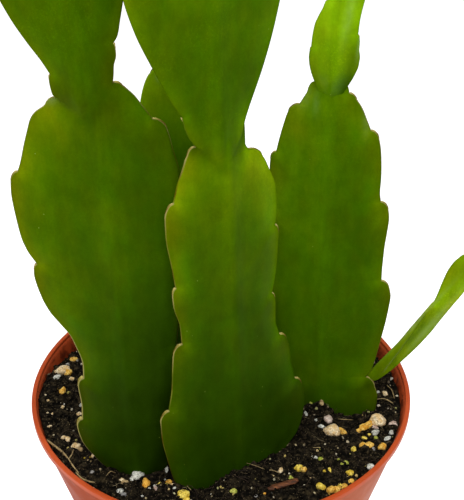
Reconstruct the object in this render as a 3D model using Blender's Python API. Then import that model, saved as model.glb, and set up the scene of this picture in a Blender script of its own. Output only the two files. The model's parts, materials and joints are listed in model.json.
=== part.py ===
"""Potted orchid cactus: flat, notched stems rooted in a terracotta-coloured plastic nursery pot.

The origin is at the centre of the pot's underside, +Z is up and -Y is the front. Tables and named
sizes are in millimetres, and become metres where a mesh is made.
"""

import math
import random

import bmesh
import bpy
from mathutils import Vector, noise

MM = 0.001
CLEARANCE = 0.3  # between neighbouring pieces that touch
CUT_PAST = 1.0  # how far a cutter runs past what it cuts
SEED = 27

# Pot
POT_HEIGHT = 75.0
POT_SIDES = 48
RIM_RADIUS = 52.0
RIM_INNER_RADIUS = 50.7
LIP_HEIGHT = 2.0
LIP_OVERHANG = 0.9
LIP_CORNER = 0.3
WALL = 1.0
FLOOR = 1.2
BASE_RADIUS = 32.0
BASE_FILLET = 0.8
GROOVE_INNER = 15.0
GROOVE_OUTER = 25.0
GROOVE_DEPTH = 1.5
GROOVE_SLANT = 0.6
DRAIN_HOLES = 8
DRAIN_RADIUS = 3.0
DRAIN_SIDES = 12

# Soil
SOIL_FRONT = 71.4
SOIL_BACK = 68.4
SLOPE_LENGTH = 34.0  # behind the centre, over which the soil comes down to SOIL_BACK
SOIL_RINGS = 10
LUMP_HEIGHT = 0.7
LUMP_SIZE = 7.0
FINE_LUMP_HEIGHT = 0.35
FINE_LUMP_SIZE = 3.0

# Grains in the soil
GRAIN_FLATNESS = 0.85  # height as a share of the smaller of length and width
GRAIN_RISE = 0.28  # share of the height that a grain's centre lies above the soil
GRAIN_ROUGHNESS = 0.35
GRAIN_FACETS = 2.2
LARGE_GRAIN = 4.0  # length from which a grain gets a finer mesh
GRAIN_SPACING = 4.5
HIDDEN_GRAINS = 22
HIDDEN_GRAIN_SIZE = (1.5, 3.2)
HIDDEN_REACH = 45.0
HIDDEN_ANGLES = (-20.0, 200.0)
BARK_CHIP = (15.6, -36.7, 18)  # x, y, then its turn in degrees
BARK_SIZE = (7.8, 2.0, 1.6)
BARK_RISE = 0.25
BARK_TAPER = (0.86, 0.7)

# Stems
BURIED = 22.0
FOOT_HALF_WIDTH = 4.5
FOOT_FULL_AT = 12.0  # depth below the soil at which a stem has narrowed to its foot
EDGE_ROUND = 0.5
EDGE_SHARE = 0.3  # the most of a narrow stem's half-width that the rounded edge takes
WEB_COLUMN = 0.6  # where the column between rib and edge lies, as a share of the half-width
RIB_HALF_WIDTH = 3.2
RIB_SHARE = 0.3  # the most of a narrow stem's half-width that the rib takes
RIB_FOOT_RISE = 0.1
TIP_THICKNESS = 0.35  # share of a stem's thickness that is left where it narrows to a point
FULL_THICKNESS_WIDTH = 7.8
BEND_HEIGHT = 100.0  # height along a stem at which its bend and its twist are given
LONGEST_ROW = 7.0
CLOSEST_ROW = 0.8
HOLE_TOP = 10.0
SEAT_LENGTH = 22.0
ROUND_ANGLE = 50.0

# Each margin is a list of lobes from the bottom up. A lobe is a list of (height along the stem,
# half-width) points, and its last point is the notch that ends it, where an areole sits.
LEFT_LOWER = {
    "foot": (-20.5, -30.0, 71.5),
    "slope": (-0.045, 0.02, 1.0),
    "turn": 2.0,
    "half_thickness": (2.3, 1.2, 0.75),
    "left": [
        [(-2, 6.4), (3, 10.2), (10, 13.6), (14.2, 14.1), (16.6, 12.6)],
        [(21, 12.2), (26.4, 12.4), (29, 10.8)],
        [(33, 10.5), (38.5, 11.7), (41.4, 12.7), (44.5, 14.7), (52, 17.7), (57.2, 18.4), (60, 17.0)],
        [(66, 19.2), (75, 20.4), (80.5, 19.9), (82.7, 18.0)],
        [(86, 16.6), (92.5, 14.4), (96, 13.2), (99.3, 9.2)],
        [(102, 8.6), (105, 7.4)],
    ],
    "right": [
        [(-2, 5.2), (3, 8.5), (9, 11.4), (12, 11.9), (14.2, 10.4)],
        [(22, 11.4), (31, 13.4), (35, 13.9), (37.6, 12.2)],
        [(46, 13.6), (57, 16.2), (61.5, 16.7), (64, 15.2)],
        [(72, 16.2), (82.3, 16.1), (88, 15.1), (92.6, 14.2), (95, 11.4)],
        [(98.6, 8.6), (101.6, 6.0), (103, 4.0)],
        [(105, 3.4)],
    ],
}
LEFT_UPPER = {
    "foot": (-27.3, -29.4, 167.5),
    "slope": (-0.11, 0.03, 1.0),
    "bend": (-3.0, 9.0, 0.0),
    "turn": 2.0,
    "twist": 7.0,
    "half_thickness": (1.9, 1.1, 0.7),
    "left": [
        [(0, 0.5), (3, 3.2), (6.5, 5.2), (9, 5.4)],
        [(13, 7.0), (20.5, 10.5), (27, 12.6), (36, 14.8), (46, 16.2), (50, 14.6)],
        [(60, 16.4), (71, 17.3), (75, 17.0), (77.4, 15.2)],
        [(84, 14.6), (91, 12.8), (94, 11.8), (96, 9.8)],
        [(99.5, 8.0), (103, 4.4), (104.6, 0.5)],
    ],
    "right": [
        [(0, 0.5), (3, 3.6), (6.5, 6.6), (10.7, 7.7), (13.8, 8.9), (15.2, 8.7)],
        [(19.5, 10.1), (25, 11.9), (32, 14.2), (37, 15.5), (39.8, 13.8)],
        [(50, 16.0), (61, 17.4), (64.6, 15.6)],
        [(73, 16.4), (82, 15.4), (85.2, 13.0)],
        [(91, 11.6), (96.5, 9.4), (98.6, 7.6)],
        [(101.4, 5.6), (103.6, 2.8), (104.6, 0.5)],
    ],
}
FRONT_LOWER = {
    "foot": (4.5, -28.0, 71.5),
    "slope": (-0.035, 0.0, 1.0),
    "turn": 25.0,
    "half_thickness": (2.4, 1.25, 0.75),
    "left": [
        [(-4, 14.0), (0, 17.3), (8, 18.8), (16, 19.7), (20.4, 19.7), (23.2, 17.4)],
        [(29, 16.2), (36, 15.5), (39, 15.1), (41.3, 12.8)],
        [(46, 12.9), (52, 14.1), (55, 14.2), (56.8, 13.3)],
        [(62.5, 13.9), (70, 14.7), (74.6, 14.6), (78, 12.5)],
        [(81.6, 11.4), (85.6, 9.7), (88.4, 8.5), (90, 6.8)],
        [(92.5, 6.2), (96, 4.6)],
    ],
    "right": [
        [(-4, 12.5), (1, 15.8), (4.5, 17.9), (9, 19.0), (14, 19.2), (19.6, 18.4), (22.7, 16.2)],
        [(28, 15.3), (33, 14.9), (35.4, 14.1), (37.5, 12.0)],
        [(41, 11.3), (46.4, 11.4), (48.9, 10.5)],
        [(55, 11.7), (61, 12.2), (65, 12.4), (67.1, 11.5)],
        [(71, 12.1), (76.5, 11.9), (82, 10.4), (85.2, 9.1), (87.6, 6.0)],
        [(89, 5.1), (93, 5.1), (96, 4.2)],
    ],
}
FRONT_UPPER = {
    "foot": (0.2, -28.7, 156.5),
    "slope": (-0.04, -0.003, 1.0),
    "bend": (4.0, -6.0, 0.0),
    "turn": 25.0,
    "twist": -6.0,
    "half_thickness": (2.1, 1.15, 0.7),
    "left": [
        [(0, 0.5), (3, 3.2), (6, 5.7), (9, 7.1), (12, 7.7)],
        [(15, 9.4), (23, 13.0), (31, 16.2), (38, 18.0), (42, 18.5), (44.8, 16.8)],
        [(54, 18.4), (64, 19.4), (67, 19.0), (69.4, 17.0)],
        [(78, 17.6), (86, 16.9), (89.6, 16.0), (92, 13.8)],
        [(98, 12.6), (104, 10.4), (106.8, 8.0)],
        [(109.6, 6.0), (111.6, 3.0), (112.4, 0.5)],
    ],
    "right": [
        [(0, 0.5), (3, 3.4), (6, 5.2), (9.3, 6.4)],
        [(13, 7.9), (21, 10.9), (29, 13.3), (38, 15.2), (50, 17.0), (54.4, 17.1), (57, 15.4)],
        [(67, 17.2), (75.6, 17.0), (79, 15.0)],
        [(87, 15.0), (94.6, 13.4), (98, 11.2)],
        [(103, 10.0), (107, 7.8), (108.8, 6.2)],
        [(110.6, 4.4), (111.9, 2.0), (112.4, 0.5)],
    ],
}
RIGHT_LOWER = {
    "foot": (27.0, -4.5, 71.5),
    "slope": (-0.03, 0.0, 1.0),
    "turn": -12.0,
    "half_thickness": (2.2, 1.2, 0.75),
    "left": [
        [(-3, 9.5), (3, 12.5), (9, 14.3), (13, 14.6), (15.8, 12.9)],
        [(23, 13.6), (31, 15.6), (35, 15.8), (38.2, 14.0)],
        [(45, 13.6), (53, 14.4), (57, 14.2), (59.8, 12.4)],
        [(65, 12.4), (70, 13.1), (73.6, 12.8), (75.6, 11.2)],
        [(79, 10.1), (83, 9.1), (86.2, 7.9), (88, 5.8)],
        [(91, 4.0), (94, 2.0)],
    ],
    "right": [
        [(-3, 13.2), (1, 15.1), (5, 15.6), (8.2, 15.0), (11.3, 12.6)],
        [(14.2, 14.0), (22.4, 15.7), (30, 16.9), (37, 17.5), (40.4, 16.9), (42.8, 14.7)],
        [(48, 15.0), (56, 16.0), (61, 16.0), (63.4, 15.3), (65, 13.5)],
        [(70, 13.2), (76.6, 13.3), (80.8, 12.8), (83.2, 10.7)],
        [(87.6, 8.4), (90.4, 7.0), (92, 5.4)],
        [(94, 4.4)],
    ],
}
BACK = {
    "foot": (-8.0, 12.0, 68.6),
    "slope": (0.0, 0.02, 1.0),
    "bend": (1.0, 3.0, 0.0),
    "turn": 10.0,
    "half_thickness": (2.2, 1.2, 0.75),
    "left": [
        [(-2, 8.5), (4, 11.2), (12, 13.0), (16, 13.1), (18.6, 11.5)],
        [(27, 12.6), (37, 14.4), (41, 14.3), (43.6, 12.6)],
        [(52, 13.6), (61, 14.8), (65, 14.6), (67.6, 12.8)],
        [(76, 13.2), (83.5, 12.7), (87.5, 11.4), (89.8, 9.9), (91.2, 7.4)],
        [(95, 6.0), (98.6, 3.2), (99.8, 0.5)],
    ],
    "right": [
        [(-2, 7.5), (5, 11.0), (12, 12.4), (26, 13.8), (29, 13.7), (31.4, 12.0)],
        [(40, 12.6), (50, 13.6), (54, 13.3), (56.4, 11.6)],
        [(64, 11.6), (74, 12.0), (78, 11.6), (80.2, 9.8)],
        [(85, 9.4), (90.6, 8.2), (93.2, 6.4)],
        [(96.4, 4.6), (98.9, 2.4), (99.8, 0.5)],
    ],
}
TOP_SHOOT = {
    "foot": (25.1, -6.3, 160.0),
    "slope": (0.06, -0.02, 1.0),
    "bend": (15.0, -3.0, 0.0),
    "turn": -12.0,
    "half_thickness": (1.7, 1.0, 0.6),
    "left": [
        [(0, 0.5), (2.5, 2.6), (5, 3.8), (9, 5.1), (11.8, 5.6), (13.7, 5.2)],
        [(16.5, 5.7), (19, 5.6), (22.4, 4.7), (24.2, 3.6)],
        [(28, 4.4), (34, 5.2), (36.8, 5.0), (38.4, 4.0)],
        [(42, 4.2), (46.6, 3.8), (48.2, 3.0)],
        [(51.4, 2.2), (54, 1.2), (55, 0.5)],
    ],
    "right": [
        [(0, 0.5), (2.5, 2.5), (5, 3.7), (9.4, 4.9), (11.8, 5.2), (14, 4.7), (17, 3.9)],
        [(21, 3.6), (27, 4.1), (30.6, 4.8), (33, 4.0)],
        [(38, 4.6), (42.6, 4.4), (44.8, 3.3)],
        [(49, 3.0), (53, 1.7), (55, 0.5)],
    ],
}
SIDE_SHOOT = {
    "foot": (39.8, -7.2, 81.6),
    "slope": (0.62, 0.0, 0.785),
    "bend": (-15.0, 0.0, 9.0),
    "turn": 0.0,
    "tilt": 33.0,
    "half_thickness": (1.3, 0.9, 0.55),
    "left": [
        [(0, 1.5), (6, 2.2), (14, 2.4), (22, 2.4), (24, 2.2)],
        [(29, 3.9), (34, 4.8), (39, 5.0), (42, 4.0)],
        [(49, 4.4), (54, 3.9), (56.4, 3.0)],
        [(62, 2.2), (66, 0.5)],
    ],
    "right": [
        [(0, 1.5), (6, 2.1), (14, 2.3), (26, 2.1), (34, 2.5), (36, 2.1)],
        [(43, 3.2), (48, 3.5), (50, 2.8)],
        [(56, 3.0), (60, 2.3), (62, 1.7)],
        [(64, 1.2), (66, 0.5)],
    ],
}

# Grains that show from the front: x, y, length, width, then the turn in degrees
GRAINS = [
    (-45.6, 8.5, 4.6, 3.2, 10),
    (-46.4, 4.6, 2.0, 1.6, 40),
    (-42.6, 5.4, 1.8, 1.5, 0),
    (-44.0, 0.2, 2.2, 2.4, 70),
    (-43.5, 16.2, 1.9, 1.6, 30),
    (-37.6, -23.2, 2.7, 2.1, 15),
    (-24.0, -35.4, 2.0, 1.6, 0),
    (-20.7, -35.0, 3.5, 3.0, 25),
    (-17.9, -37.6, 2.2, 2.5, 80),
    (-9.2, -41.4, 2.9, 2.2, 5),
    (41.0, -14.0, 7.4, 4.4, 28),
    (46.0, -13.6, 2.2, 1.7, 0),
    (44.8, -17.6, 1.8, 1.4, 60),
    (37.9, -22.0, 3.1, 2.2, 10),
    (42.1, -22.9, 2.2, 2.0, 0),
    (37.2, -30.6, 1.9, 2.2, 50),
    (25.2, -38.1, 2.2, 1.9, 0),
    (27.8, -38.6, 2.4, 2.2, 45),
    (31.0, -37.2, 2.2, 1.9, 20),
    (32.8, -35.3, 1.9, 1.8, 0),
    (20.1, -30.2, 3.0, 2.1, 8),
    (31.2, -28.0, 2.1, 1.6, 30),
    (28.9, -12.4, 2.4, 2.4, 0),
    (30.4, -17.2, 4.7, 3.9, 35),
    (26.2, -14.6, 2.2, 1.4, 15),
]


def clear_scene():
    for item in list(bpy.data.objects):
        bpy.data.objects.remove(item, do_unlink=True)


def material(name, color, roughness):
    made = bpy.data.materials.new(name)
    made.use_nodes = True
    shader = made.node_tree.nodes["Principled BSDF"]
    shader.inputs["Base Color"].default_value = (*color, 1.0)
    shader.inputs["Roughness"].default_value = roughness
    shader.inputs["Metallic"].default_value = 0.0
    return made


def object_from(name, points, faces, finish=None, place=(0.0, 0.0, 0.0)):
    """An object at a place, from points that are given from there, all in millimetres."""
    mesh = bpy.data.meshes.new(name)
    mesh.from_pydata([Vector(point) * MM for point in points], [], faces)
    mesh.validate()
    made = bpy.data.objects.new(name, mesh)
    made.location = Vector(place) * MM
    bpy.context.scene.collection.objects.link(made)
    if finish:
        mesh.materials.append(finish)
    return made


def apply_modifiers(target):
    graph = bpy.context.evaluated_depsgraph_get()
    result = bpy.data.meshes.new_from_object(target.evaluated_get(graph))
    target.modifiers.clear()
    result.name = target.name
    target.data = result


def combine(target, other, operation):
    """Applies an exact Boolean with another object, which is then removed."""
    modifier = target.modifiers.new(operation.title(), "BOOLEAN")
    modifier.operation = operation
    modifier.solver = "EXACT"
    modifier.object = other
    apply_modifiers(target)
    bpy.data.objects.remove(other, do_unlink=True)


def drop_scraps(target):
    """Keeps the largest connected body, where a cut has left a loose scrap beside it."""
    shape = bmesh.new()
    shape.from_mesh(target.data)
    bodies = []
    waiting = set(shape.verts)
    while waiting:
        body = set()
        to_visit = [waiting.pop()]
        while to_visit:
            vertex = to_visit.pop()
            body.add(vertex)
            for edge in vertex.link_edges:
                other = edge.other_vert(vertex)
                if other in waiting:
                    waiting.discard(other)
                    to_visit.append(other)
        bodies.append(body)
    bodies.sort(key=len)
    for body in bodies[:-1]:
        bmesh.ops.delete(shape, geom=list(body), context="VERTS")
    shape.to_mesh(target.data)
    shape.free()


def smooth_round(target):
    target.data.shade_smooth()
    target.data.set_sharp_from_angle(angle=math.radians(ROUND_ANGLE))


def smooth_step(low, high, value):
    share = min(max((value - low) / (high - low), 0.0), 1.0)
    return share * share * (3.0 - 2.0 * share)


def curve_through(points):
    """A smooth curve through (x, y) points that doesn't swing past any of them."""
    xs = [point[0] for point in points]
    ys = [point[1] for point in points]
    rises = [(ys[i + 1] - ys[i]) / (xs[i + 1] - xs[i]) for i in range(len(xs) - 1)]
    slopes = [rises[0]]
    for before, after in zip(rises, rises[1:]):
        same_way = before * after > 0.0
        slopes.append(2.0 * before * after / (before + after) if same_way else 0.0)
    slopes.append(rises[-1])

    def value_at(x):
        i = 0
        while i < len(xs) - 2 and x > xs[i + 1]:
            i += 1
        span = xs[i + 1] - xs[i]
        u = min(max((x - xs[i]) / span, 0.0), 1.0)
        start = ys[i] * (1 + 2 * u) * (1 - u) ** 2 + slopes[i] * span * u * (1 - u) ** 2
        end = ys[i + 1] * u * u * (3 - 2 * u) + slopes[i + 1] * span * u * u * (u - 1)
        return start + end

    return value_at


def margin(lobes):
    """Half-width as a function of height: one smooth curve per lobe, with a sharp notch between."""
    curves = []
    start = lobes[0][0]
    for lobe in lobes:
        points = lobe if lobe[0] == start else [start, *lobe]
        curves.append((points[-1][0], curve_through(points)))
        start = lobe[-1]
    lowest, width = lobes[0][0]

    def half_width(height):
        if height < lowest:
            depth = smooth_step(lowest, -FOOT_FULL_AT, height)
            return width + (FOOT_HALF_WIDTH - width) * depth
        for top, curve in curves:
            if height <= top:
                return curve(height)
        return curves[-1][1](height)

    return half_width


def rows_of(stem, start):
    """The rows of a stem: one at each point of both margins, and more where they lie far apart."""
    marked = {point[0] for side in ("left", "right") for lobe in stem[side] for point in lobe}
    marked = sorted(height for height in marked if height > start + CLOSEST_ROW)
    rows = [start]
    for height in marked:
        low = rows[-1]
        if height - low < CLOSEST_ROW:
            continue
        steps = math.ceil((height - low) / LONGEST_ROW)
        rows.extend(low + (height - low) * step / steps for step in range(1, steps + 1))
    rows[-1] = marked[-1]
    return rows


def centre_line(stem, height):
    """The middle of a stem at a height along it, seen from its foot."""
    share = height / BEND_HEIGHT
    bend = Vector(stem.get("bend", (0.0, 0.0, 0.0)))
    return Vector(stem["slope"]) * height + bend * share * share


def section(stem, half_widths, height, grow):
    """The points round a stem: its left edge, its front, its right edge and its back."""
    turn = math.radians(stem["turn"] + stem.get("twist", 0.0) * height / BEND_HEIGHT)
    tilt = math.radians(stem.get("tilt", 0.0))
    across = Vector((math.cos(turn) * math.cos(tilt), math.sin(turn) * math.cos(tilt), -math.sin(tilt)))
    front = Vector((math.sin(turn), -math.cos(turn), 0.0))
    centre = centre_line(stem, height)
    left, right = (half_width(height) + grow for half_width in half_widths)
    rib, web, edge = (thickness + grow for thickness in stem["half_thickness"])
    width = left + right
    thin = min(1.0, TIP_THICKNESS + (1.0 - TIP_THICKNESS) * width / FULL_THICKNESS_WIDTH)
    rib_foot = min(RIB_HALF_WIDTH, RIB_SHARE * width / 2.0)
    columns = (
        (-left + min(EDGE_ROUND, EDGE_SHARE * left), edge),
        (-left * WEB_COLUMN, web),
        (-rib_foot, web + RIB_FOOT_RISE),
        (0.0, rib),
        (rib_foot, web + RIB_FOOT_RISE),
        (right * WEB_COLUMN, web),
        (right - min(EDGE_ROUND, EDGE_SHARE * right), edge),
    )
    fronts = [centre + across * along + front * deep * thin for along, deep in columns]
    backs = [centre + across * along - front * deep * thin for along, deep in reversed(columns)]
    return [centre - across * left, *fronts, centre + across * right, *backs]


def blade(name, stem, start=0.0, end=math.inf, grow=0.0, finish=None):
    """A flat stem with a raised midrib on both faces and rounded, notched margins.

    grow makes it larger all round, for the hole or the seat that it stands in.
    """
    half_widths = (margin(stem["left"]), margin(stem["right"]))
    rows = [row for row in rows_of(stem, start) if row <= end]
    points = [point for row in rows for point in section(stem, half_widths, row, grow)]
    around = len(points) // len(rows)
    faces = []
    for row in range(len(rows) - 1):
        for i in range(around):
            here = row * around + i
            beside = row * around + (i + 1) % around
            # The back is split as the mirror of the front, so that the two don't cross.
            if i < around // 2:
                faces.append((here, beside, beside + around))
                faces.append((here, beside + around, here + around))
            else:
                faces.append((here, beside, here + around))
                faces.append((beside, beside + around, here + around))
    bottom_middle = len(points)
    top_middle = len(points) + 1
    top = (len(rows) - 1) * around
    points.append(centre_line(stem, rows[0]))
    points.append(centre_line(stem, rows[-1]))
    for i in range(around):
        beside = (i + 1) % around
        faces.append((beside, i, bottom_middle))
        faces.append((top + i, top + beside, top_middle))
    return object_from(name, points, faces, finish, stem["foot"])


def pot_radius(height):
    """The pot's outer radius below its lip."""
    under_lip = RIM_RADIUS - LIP_OVERHANG
    share = (height - BASE_FILLET) / (POT_HEIGHT - LIP_HEIGHT - BASE_FILLET)
    return BASE_RADIUS + (under_lip - BASE_RADIUS) * share


def on_circle(radius, number, count, height):
    angle = 2.0 * math.pi * number / count
    return (radius * math.cos(angle), radius * math.sin(angle), height)


def turned(name, profile, sides, finish=None, place=(0.0, 0.0, 0.0)):
    """A closed body from a closed (radius, height) outline that starts and ends on the axis."""
    points = [(0.0, 0.0, profile[0][1])]
    for radius, height in profile[1:-1]:
        points.extend(on_circle(radius, i, sides, height) for i in range(sides))
    points.append((0.0, 0.0, profile[-1][1]))
    faces = []
    last_ring = len(points) - 1 - sides
    for i in range(sides):
        beside = (i + 1) % sides
        faces.append((0, 1 + beside, 1 + i))
        faces.append((last_ring + i, last_ring + beside, len(points) - 1))
        for ring in range(len(profile) - 3):
            low = 1 + ring * sides
            faces.append((low + i, low + beside, low + sides + beside, low + sides + i))
    return object_from(name, points, faces, finish, place)


def make_pot(finish):
    """A thin moulded pot with a narrow lip, and a drained ring channel under its base."""
    lip_bottom = POT_HEIGHT - LIP_HEIGHT
    inner_foot = FLOOR + BASE_FILLET
    channel_top = FLOOR + GROOVE_DEPTH
    profile = [
        (0.0, 0.0),
        (GROOVE_INNER, 0.0),
        (GROOVE_INNER + GROOVE_SLANT, GROOVE_DEPTH),
        (GROOVE_OUTER - GROOVE_SLANT, GROOVE_DEPTH),
        (GROOVE_OUTER, 0.0),
        (BASE_RADIUS - BASE_FILLET, 0.0),
        (BASE_RADIUS, BASE_FILLET),
        (pot_radius(lip_bottom), lip_bottom),
        (RIM_RADIUS, lip_bottom + LIP_CORNER),
        (RIM_RADIUS, POT_HEIGHT - LIP_CORNER),
        (RIM_RADIUS - LIP_CORNER, POT_HEIGHT),
        (RIM_INNER_RADIUS + LIP_CORNER, POT_HEIGHT),
        (RIM_INNER_RADIUS, POT_HEIGHT - LIP_CORNER),
        (pot_radius(lip_bottom) - WALL, lip_bottom),
        (pot_radius(inner_foot) - WALL, inner_foot),
        (BASE_RADIUS - WALL - BASE_FILLET, FLOOR),
        (GROOVE_OUTER + WALL, FLOOR),
        (GROOVE_OUTER + WALL - GROOVE_SLANT, channel_top),
        (GROOVE_INNER - WALL + GROOVE_SLANT, channel_top),
        (GROOVE_INNER - WALL, FLOOR),
        (0.0, FLOOR),
    ]
    pot = turned("pot", profile, POT_SIDES, finish)
    middle = (GROOVE_INNER + GROOVE_OUTER) / 2.0
    drain = [
        (0.0, -CUT_PAST),
        (DRAIN_RADIUS, -CUT_PAST),
        (DRAIN_RADIUS, channel_top + CUT_PAST),
        (0.0, channel_top + CUT_PAST),
    ]
    for i in range(DRAIN_HOLES):
        place = on_circle(middle, i + 0.5, DRAIN_HOLES, 0.0)
        combine(pot, turned("drain_hole", drain, DRAIN_SIDES, place=place), "DIFFERENCE")
    smooth_round(pot)
    return pot


def lump(x, y, size, layer):
    return noise.noise(Vector((x / size, y / size, layer)))


def soil_height(x, y):
    """The soil slopes down a little towards the back, with low lumps."""
    slope = smooth_step(0.0, SLOPE_LENGTH, y)
    lumps = LUMP_HEIGHT * lump(x, y, LUMP_SIZE, SEED)
    fine_lumps = FINE_LUMP_HEIGHT * lump(x, y, FINE_LUMP_SIZE, SEED + 1)
    return SOIL_FRONT + (SOIL_BACK - SOIL_FRONT) * slope + lumps + fine_lumps


def soil_body(finish):
    bottom = FLOOR + GROOVE_DEPTH + CLEARANCE
    top_radius = pot_radius(SOIL_BACK) - WALL - CLEARANCE
    bottom_radius = pot_radius(bottom) - WALL - CLEARANCE
    points = [(0.0, 0.0, bottom)]
    points.extend(on_circle(bottom_radius, i, POT_SIDES, bottom) for i in range(POT_SIDES))
    for ring in range(SOIL_RINGS, 0, -1):
        for i in range(POT_SIDES):
            x, y, _ = on_circle(top_radius * ring / SOIL_RINGS, i, POT_SIDES, 0.0)
            points.append((x, y, soil_height(x, y)))
    points.append((0.0, 0.0, soil_height(0.0, 0.0)))
    faces = []
    last_ring = len(points) - 1 - POT_SIDES
    for i in range(POT_SIDES):
        beside = (i + 1) % POT_SIDES
        faces.append((0, 1 + beside, 1 + i))
        faces.append((last_ring + i, last_ring + beside, len(points) - 1))
        for ring in range(SOIL_RINGS):
            low = 1 + ring * POT_SIDES
            faces.append((low + i, low + beside, low + POT_SIDES + beside))
            faces.append((low + i, low + POT_SIDES + beside, low + POT_SIDES + i))
    return object_from("soil", points, faces, finish)


def laid_on_soil(shape, name, x, y, rise, turn, size):
    """Makes an object of a shape one unit across, at its size in millimetres, on the soil."""
    mesh = bpy.data.meshes.new(name)
    shape.to_mesh(mesh)
    shape.free()
    made = bpy.data.objects.new(name, mesh)
    made.location = Vector((x, y, soil_height(x, y) + rise)) * MM
    made.rotation_euler.z = math.radians(turn)
    made.scale = Vector(size) * MM
    return made


def grain(draw, x, y, length, width, turn):
    """One irregular mineral grain, sunk into the soil."""
    shape = bmesh.new()
    subdivisions = 2 if length > LARGE_GRAIN else 1
    bmesh.ops.create_icosphere(shape, subdivisions=subdivisions, radius=0.5)
    offset = Vector((draw.random(), draw.random(), draw.random())) / MM
    for vertex in shape.verts:
        vertex.co *= 1.0 + GRAIN_ROUGHNESS * noise.noise(vertex.co * GRAIN_FACETS + offset)
    height = GRAIN_FLATNESS * min(length, width)
    return laid_on_soil(shape, "grain", x, y, GRAIN_RISE * height, turn, (length, width, height))


def bark_chip():
    x, y, turn = BARK_CHIP
    shape = bmesh.new()
    bmesh.ops.create_cube(shape, size=1.0)
    for vertex in shape.verts:
        if vertex.co.z > 0.0:
            vertex.co.x *= BARK_TAPER[0]
            vertex.co.y *= BARK_TAPER[1]
    return laid_on_soil(shape, "bark_chip", x, y, BARK_RISE, turn, BARK_SIZE)


def hidden_grains(draw):
    """More grains where the stems hide the soil, each kept clear of the others."""
    made = []
    while len(made) < HIDDEN_GRAINS:
        radius = HIDDEN_REACH * math.sqrt(draw.random())
        angle = math.radians(draw.uniform(*HIDDEN_ANGLES))
        x, y = radius * math.cos(angle), radius * math.sin(angle)
        size = draw.uniform(*HIDDEN_GRAIN_SIZE)
        turn = draw.uniform(0.0, 180.0)
        if all(math.hypot(x - other[0], y - other[1]) > GRAIN_SPACING for other in GRAINS + made):
            made.append((x, y, size, size * GRAIN_FLATNESS, turn))
    return made


def make_soil(finish, stems):
    """The soil with its grains and a bark chip fused in, and a plain hole for each stem."""
    draw = random.Random(SEED)
    soil = soil_body(finish)
    repeats = bpy.data.collections.new("grains")
    bpy.context.scene.collection.children.link(repeats)
    for place in GRAINS + hidden_grains(draw):
        repeats.objects.link(grain(draw, *place))
    repeats.objects.link(bark_chip())
    modifier = soil.modifiers.new("Grains", "BOOLEAN")
    modifier.operation = "UNION"
    modifier.solver = "EXACT"
    modifier.operand_type = "COLLECTION"
    modifier.collection = repeats
    apply_modifiers(soil)
    for item in list(repeats.objects):
        bpy.data.objects.remove(item, do_unlink=True)
    bpy.data.collections.remove(repeats)
    for stem in stems:
        hole = blade("stem_hole", stem, -BURIED - CLEARANCE, HOLE_TOP, CLEARANCE)
        combine(soil, hole, "DIFFERENCE")
    drop_scraps(soil)
    return soil


def make_stem(name, finish, lower, upper=None):
    """A rooted stem, with the later stem segment that grew from its top."""
    stem = blade(name, lower, -BURIED, finish=finish)
    if upper:
        combine(stem, blade("segment", upper), "UNION")
    smooth_round(stem)
    return stem


def make_shoot(name, finish, shoot, bearer):
    """A young shoot, and the seat for it in the stem that bears it."""
    combine(bearer, blade("seat", shoot, 0.0, SEAT_LENGTH, CLEARANCE), "DIFFERENCE")
    smooth_round(bearer)
    made = blade(name, shoot, finish=finish)
    smooth_round(made)
    return made


def main():
    clear_scene()
    terracotta = material("terracotta_plastic", (0.6, 0.08, 0.02), 0.4)
    potting_mix = material("potting_mix", (0.012, 0.009, 0.007), 0.95)
    green = material("mature_stem", (0.07, 0.17, 0.005), 0.45)
    young_green = material("young_shoot", (0.2, 0.42, 0.01), 0.35)
    stem_right = make_stem("stem_right", green, RIGHT_LOWER)
    pieces = [
        make_pot(terracotta),
        make_soil(potting_mix, (LEFT_LOWER, FRONT_LOWER, RIGHT_LOWER, BACK)),
        make_stem("stem_left", green, LEFT_LOWER, LEFT_UPPER),
        make_stem("stem_front", green, FRONT_LOWER, FRONT_UPPER),
        make_stem("stem_back", green, BACK),
        stem_right,
        make_shoot("shoot_top", young_green, TOP_SHOOT, stem_right),
        make_shoot("shoot_side", young_green, SIDE_SHOOT, stem_right),
    ]
    whole = bpy.data.objects.new("potted_orchid_cactus", None)
    bpy.context.scene.collection.objects.link(whole)
    for piece in pieces:
        piece.parent = whole


main()
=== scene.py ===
import functools
import json
import math
import random

import bmesh
import bpy
import numpy as np
from mathutils import Matrix, Vector, noise

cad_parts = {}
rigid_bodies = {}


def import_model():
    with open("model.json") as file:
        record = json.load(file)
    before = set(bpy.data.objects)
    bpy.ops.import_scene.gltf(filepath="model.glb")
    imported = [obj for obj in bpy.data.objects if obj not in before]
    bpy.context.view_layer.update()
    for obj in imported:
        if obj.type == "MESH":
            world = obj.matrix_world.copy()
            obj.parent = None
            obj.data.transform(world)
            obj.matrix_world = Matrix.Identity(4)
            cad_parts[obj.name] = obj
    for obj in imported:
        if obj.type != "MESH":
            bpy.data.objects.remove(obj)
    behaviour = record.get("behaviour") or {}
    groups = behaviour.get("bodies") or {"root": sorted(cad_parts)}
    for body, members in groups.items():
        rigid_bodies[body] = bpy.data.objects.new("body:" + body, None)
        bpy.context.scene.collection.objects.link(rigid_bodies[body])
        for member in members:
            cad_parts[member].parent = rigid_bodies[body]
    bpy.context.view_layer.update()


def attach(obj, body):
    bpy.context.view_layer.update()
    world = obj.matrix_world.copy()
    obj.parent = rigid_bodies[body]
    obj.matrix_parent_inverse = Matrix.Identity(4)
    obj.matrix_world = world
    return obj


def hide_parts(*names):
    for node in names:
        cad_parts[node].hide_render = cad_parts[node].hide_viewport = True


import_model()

# Looks of the potted orchid cactus. Tables and named sizes are in millimetres, as the frame's
# source has them, and become metres where a mesh is made. Colours are 0 to 255 display values.

MM = 0.001
SEED = 27
BODY = "root"

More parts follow.
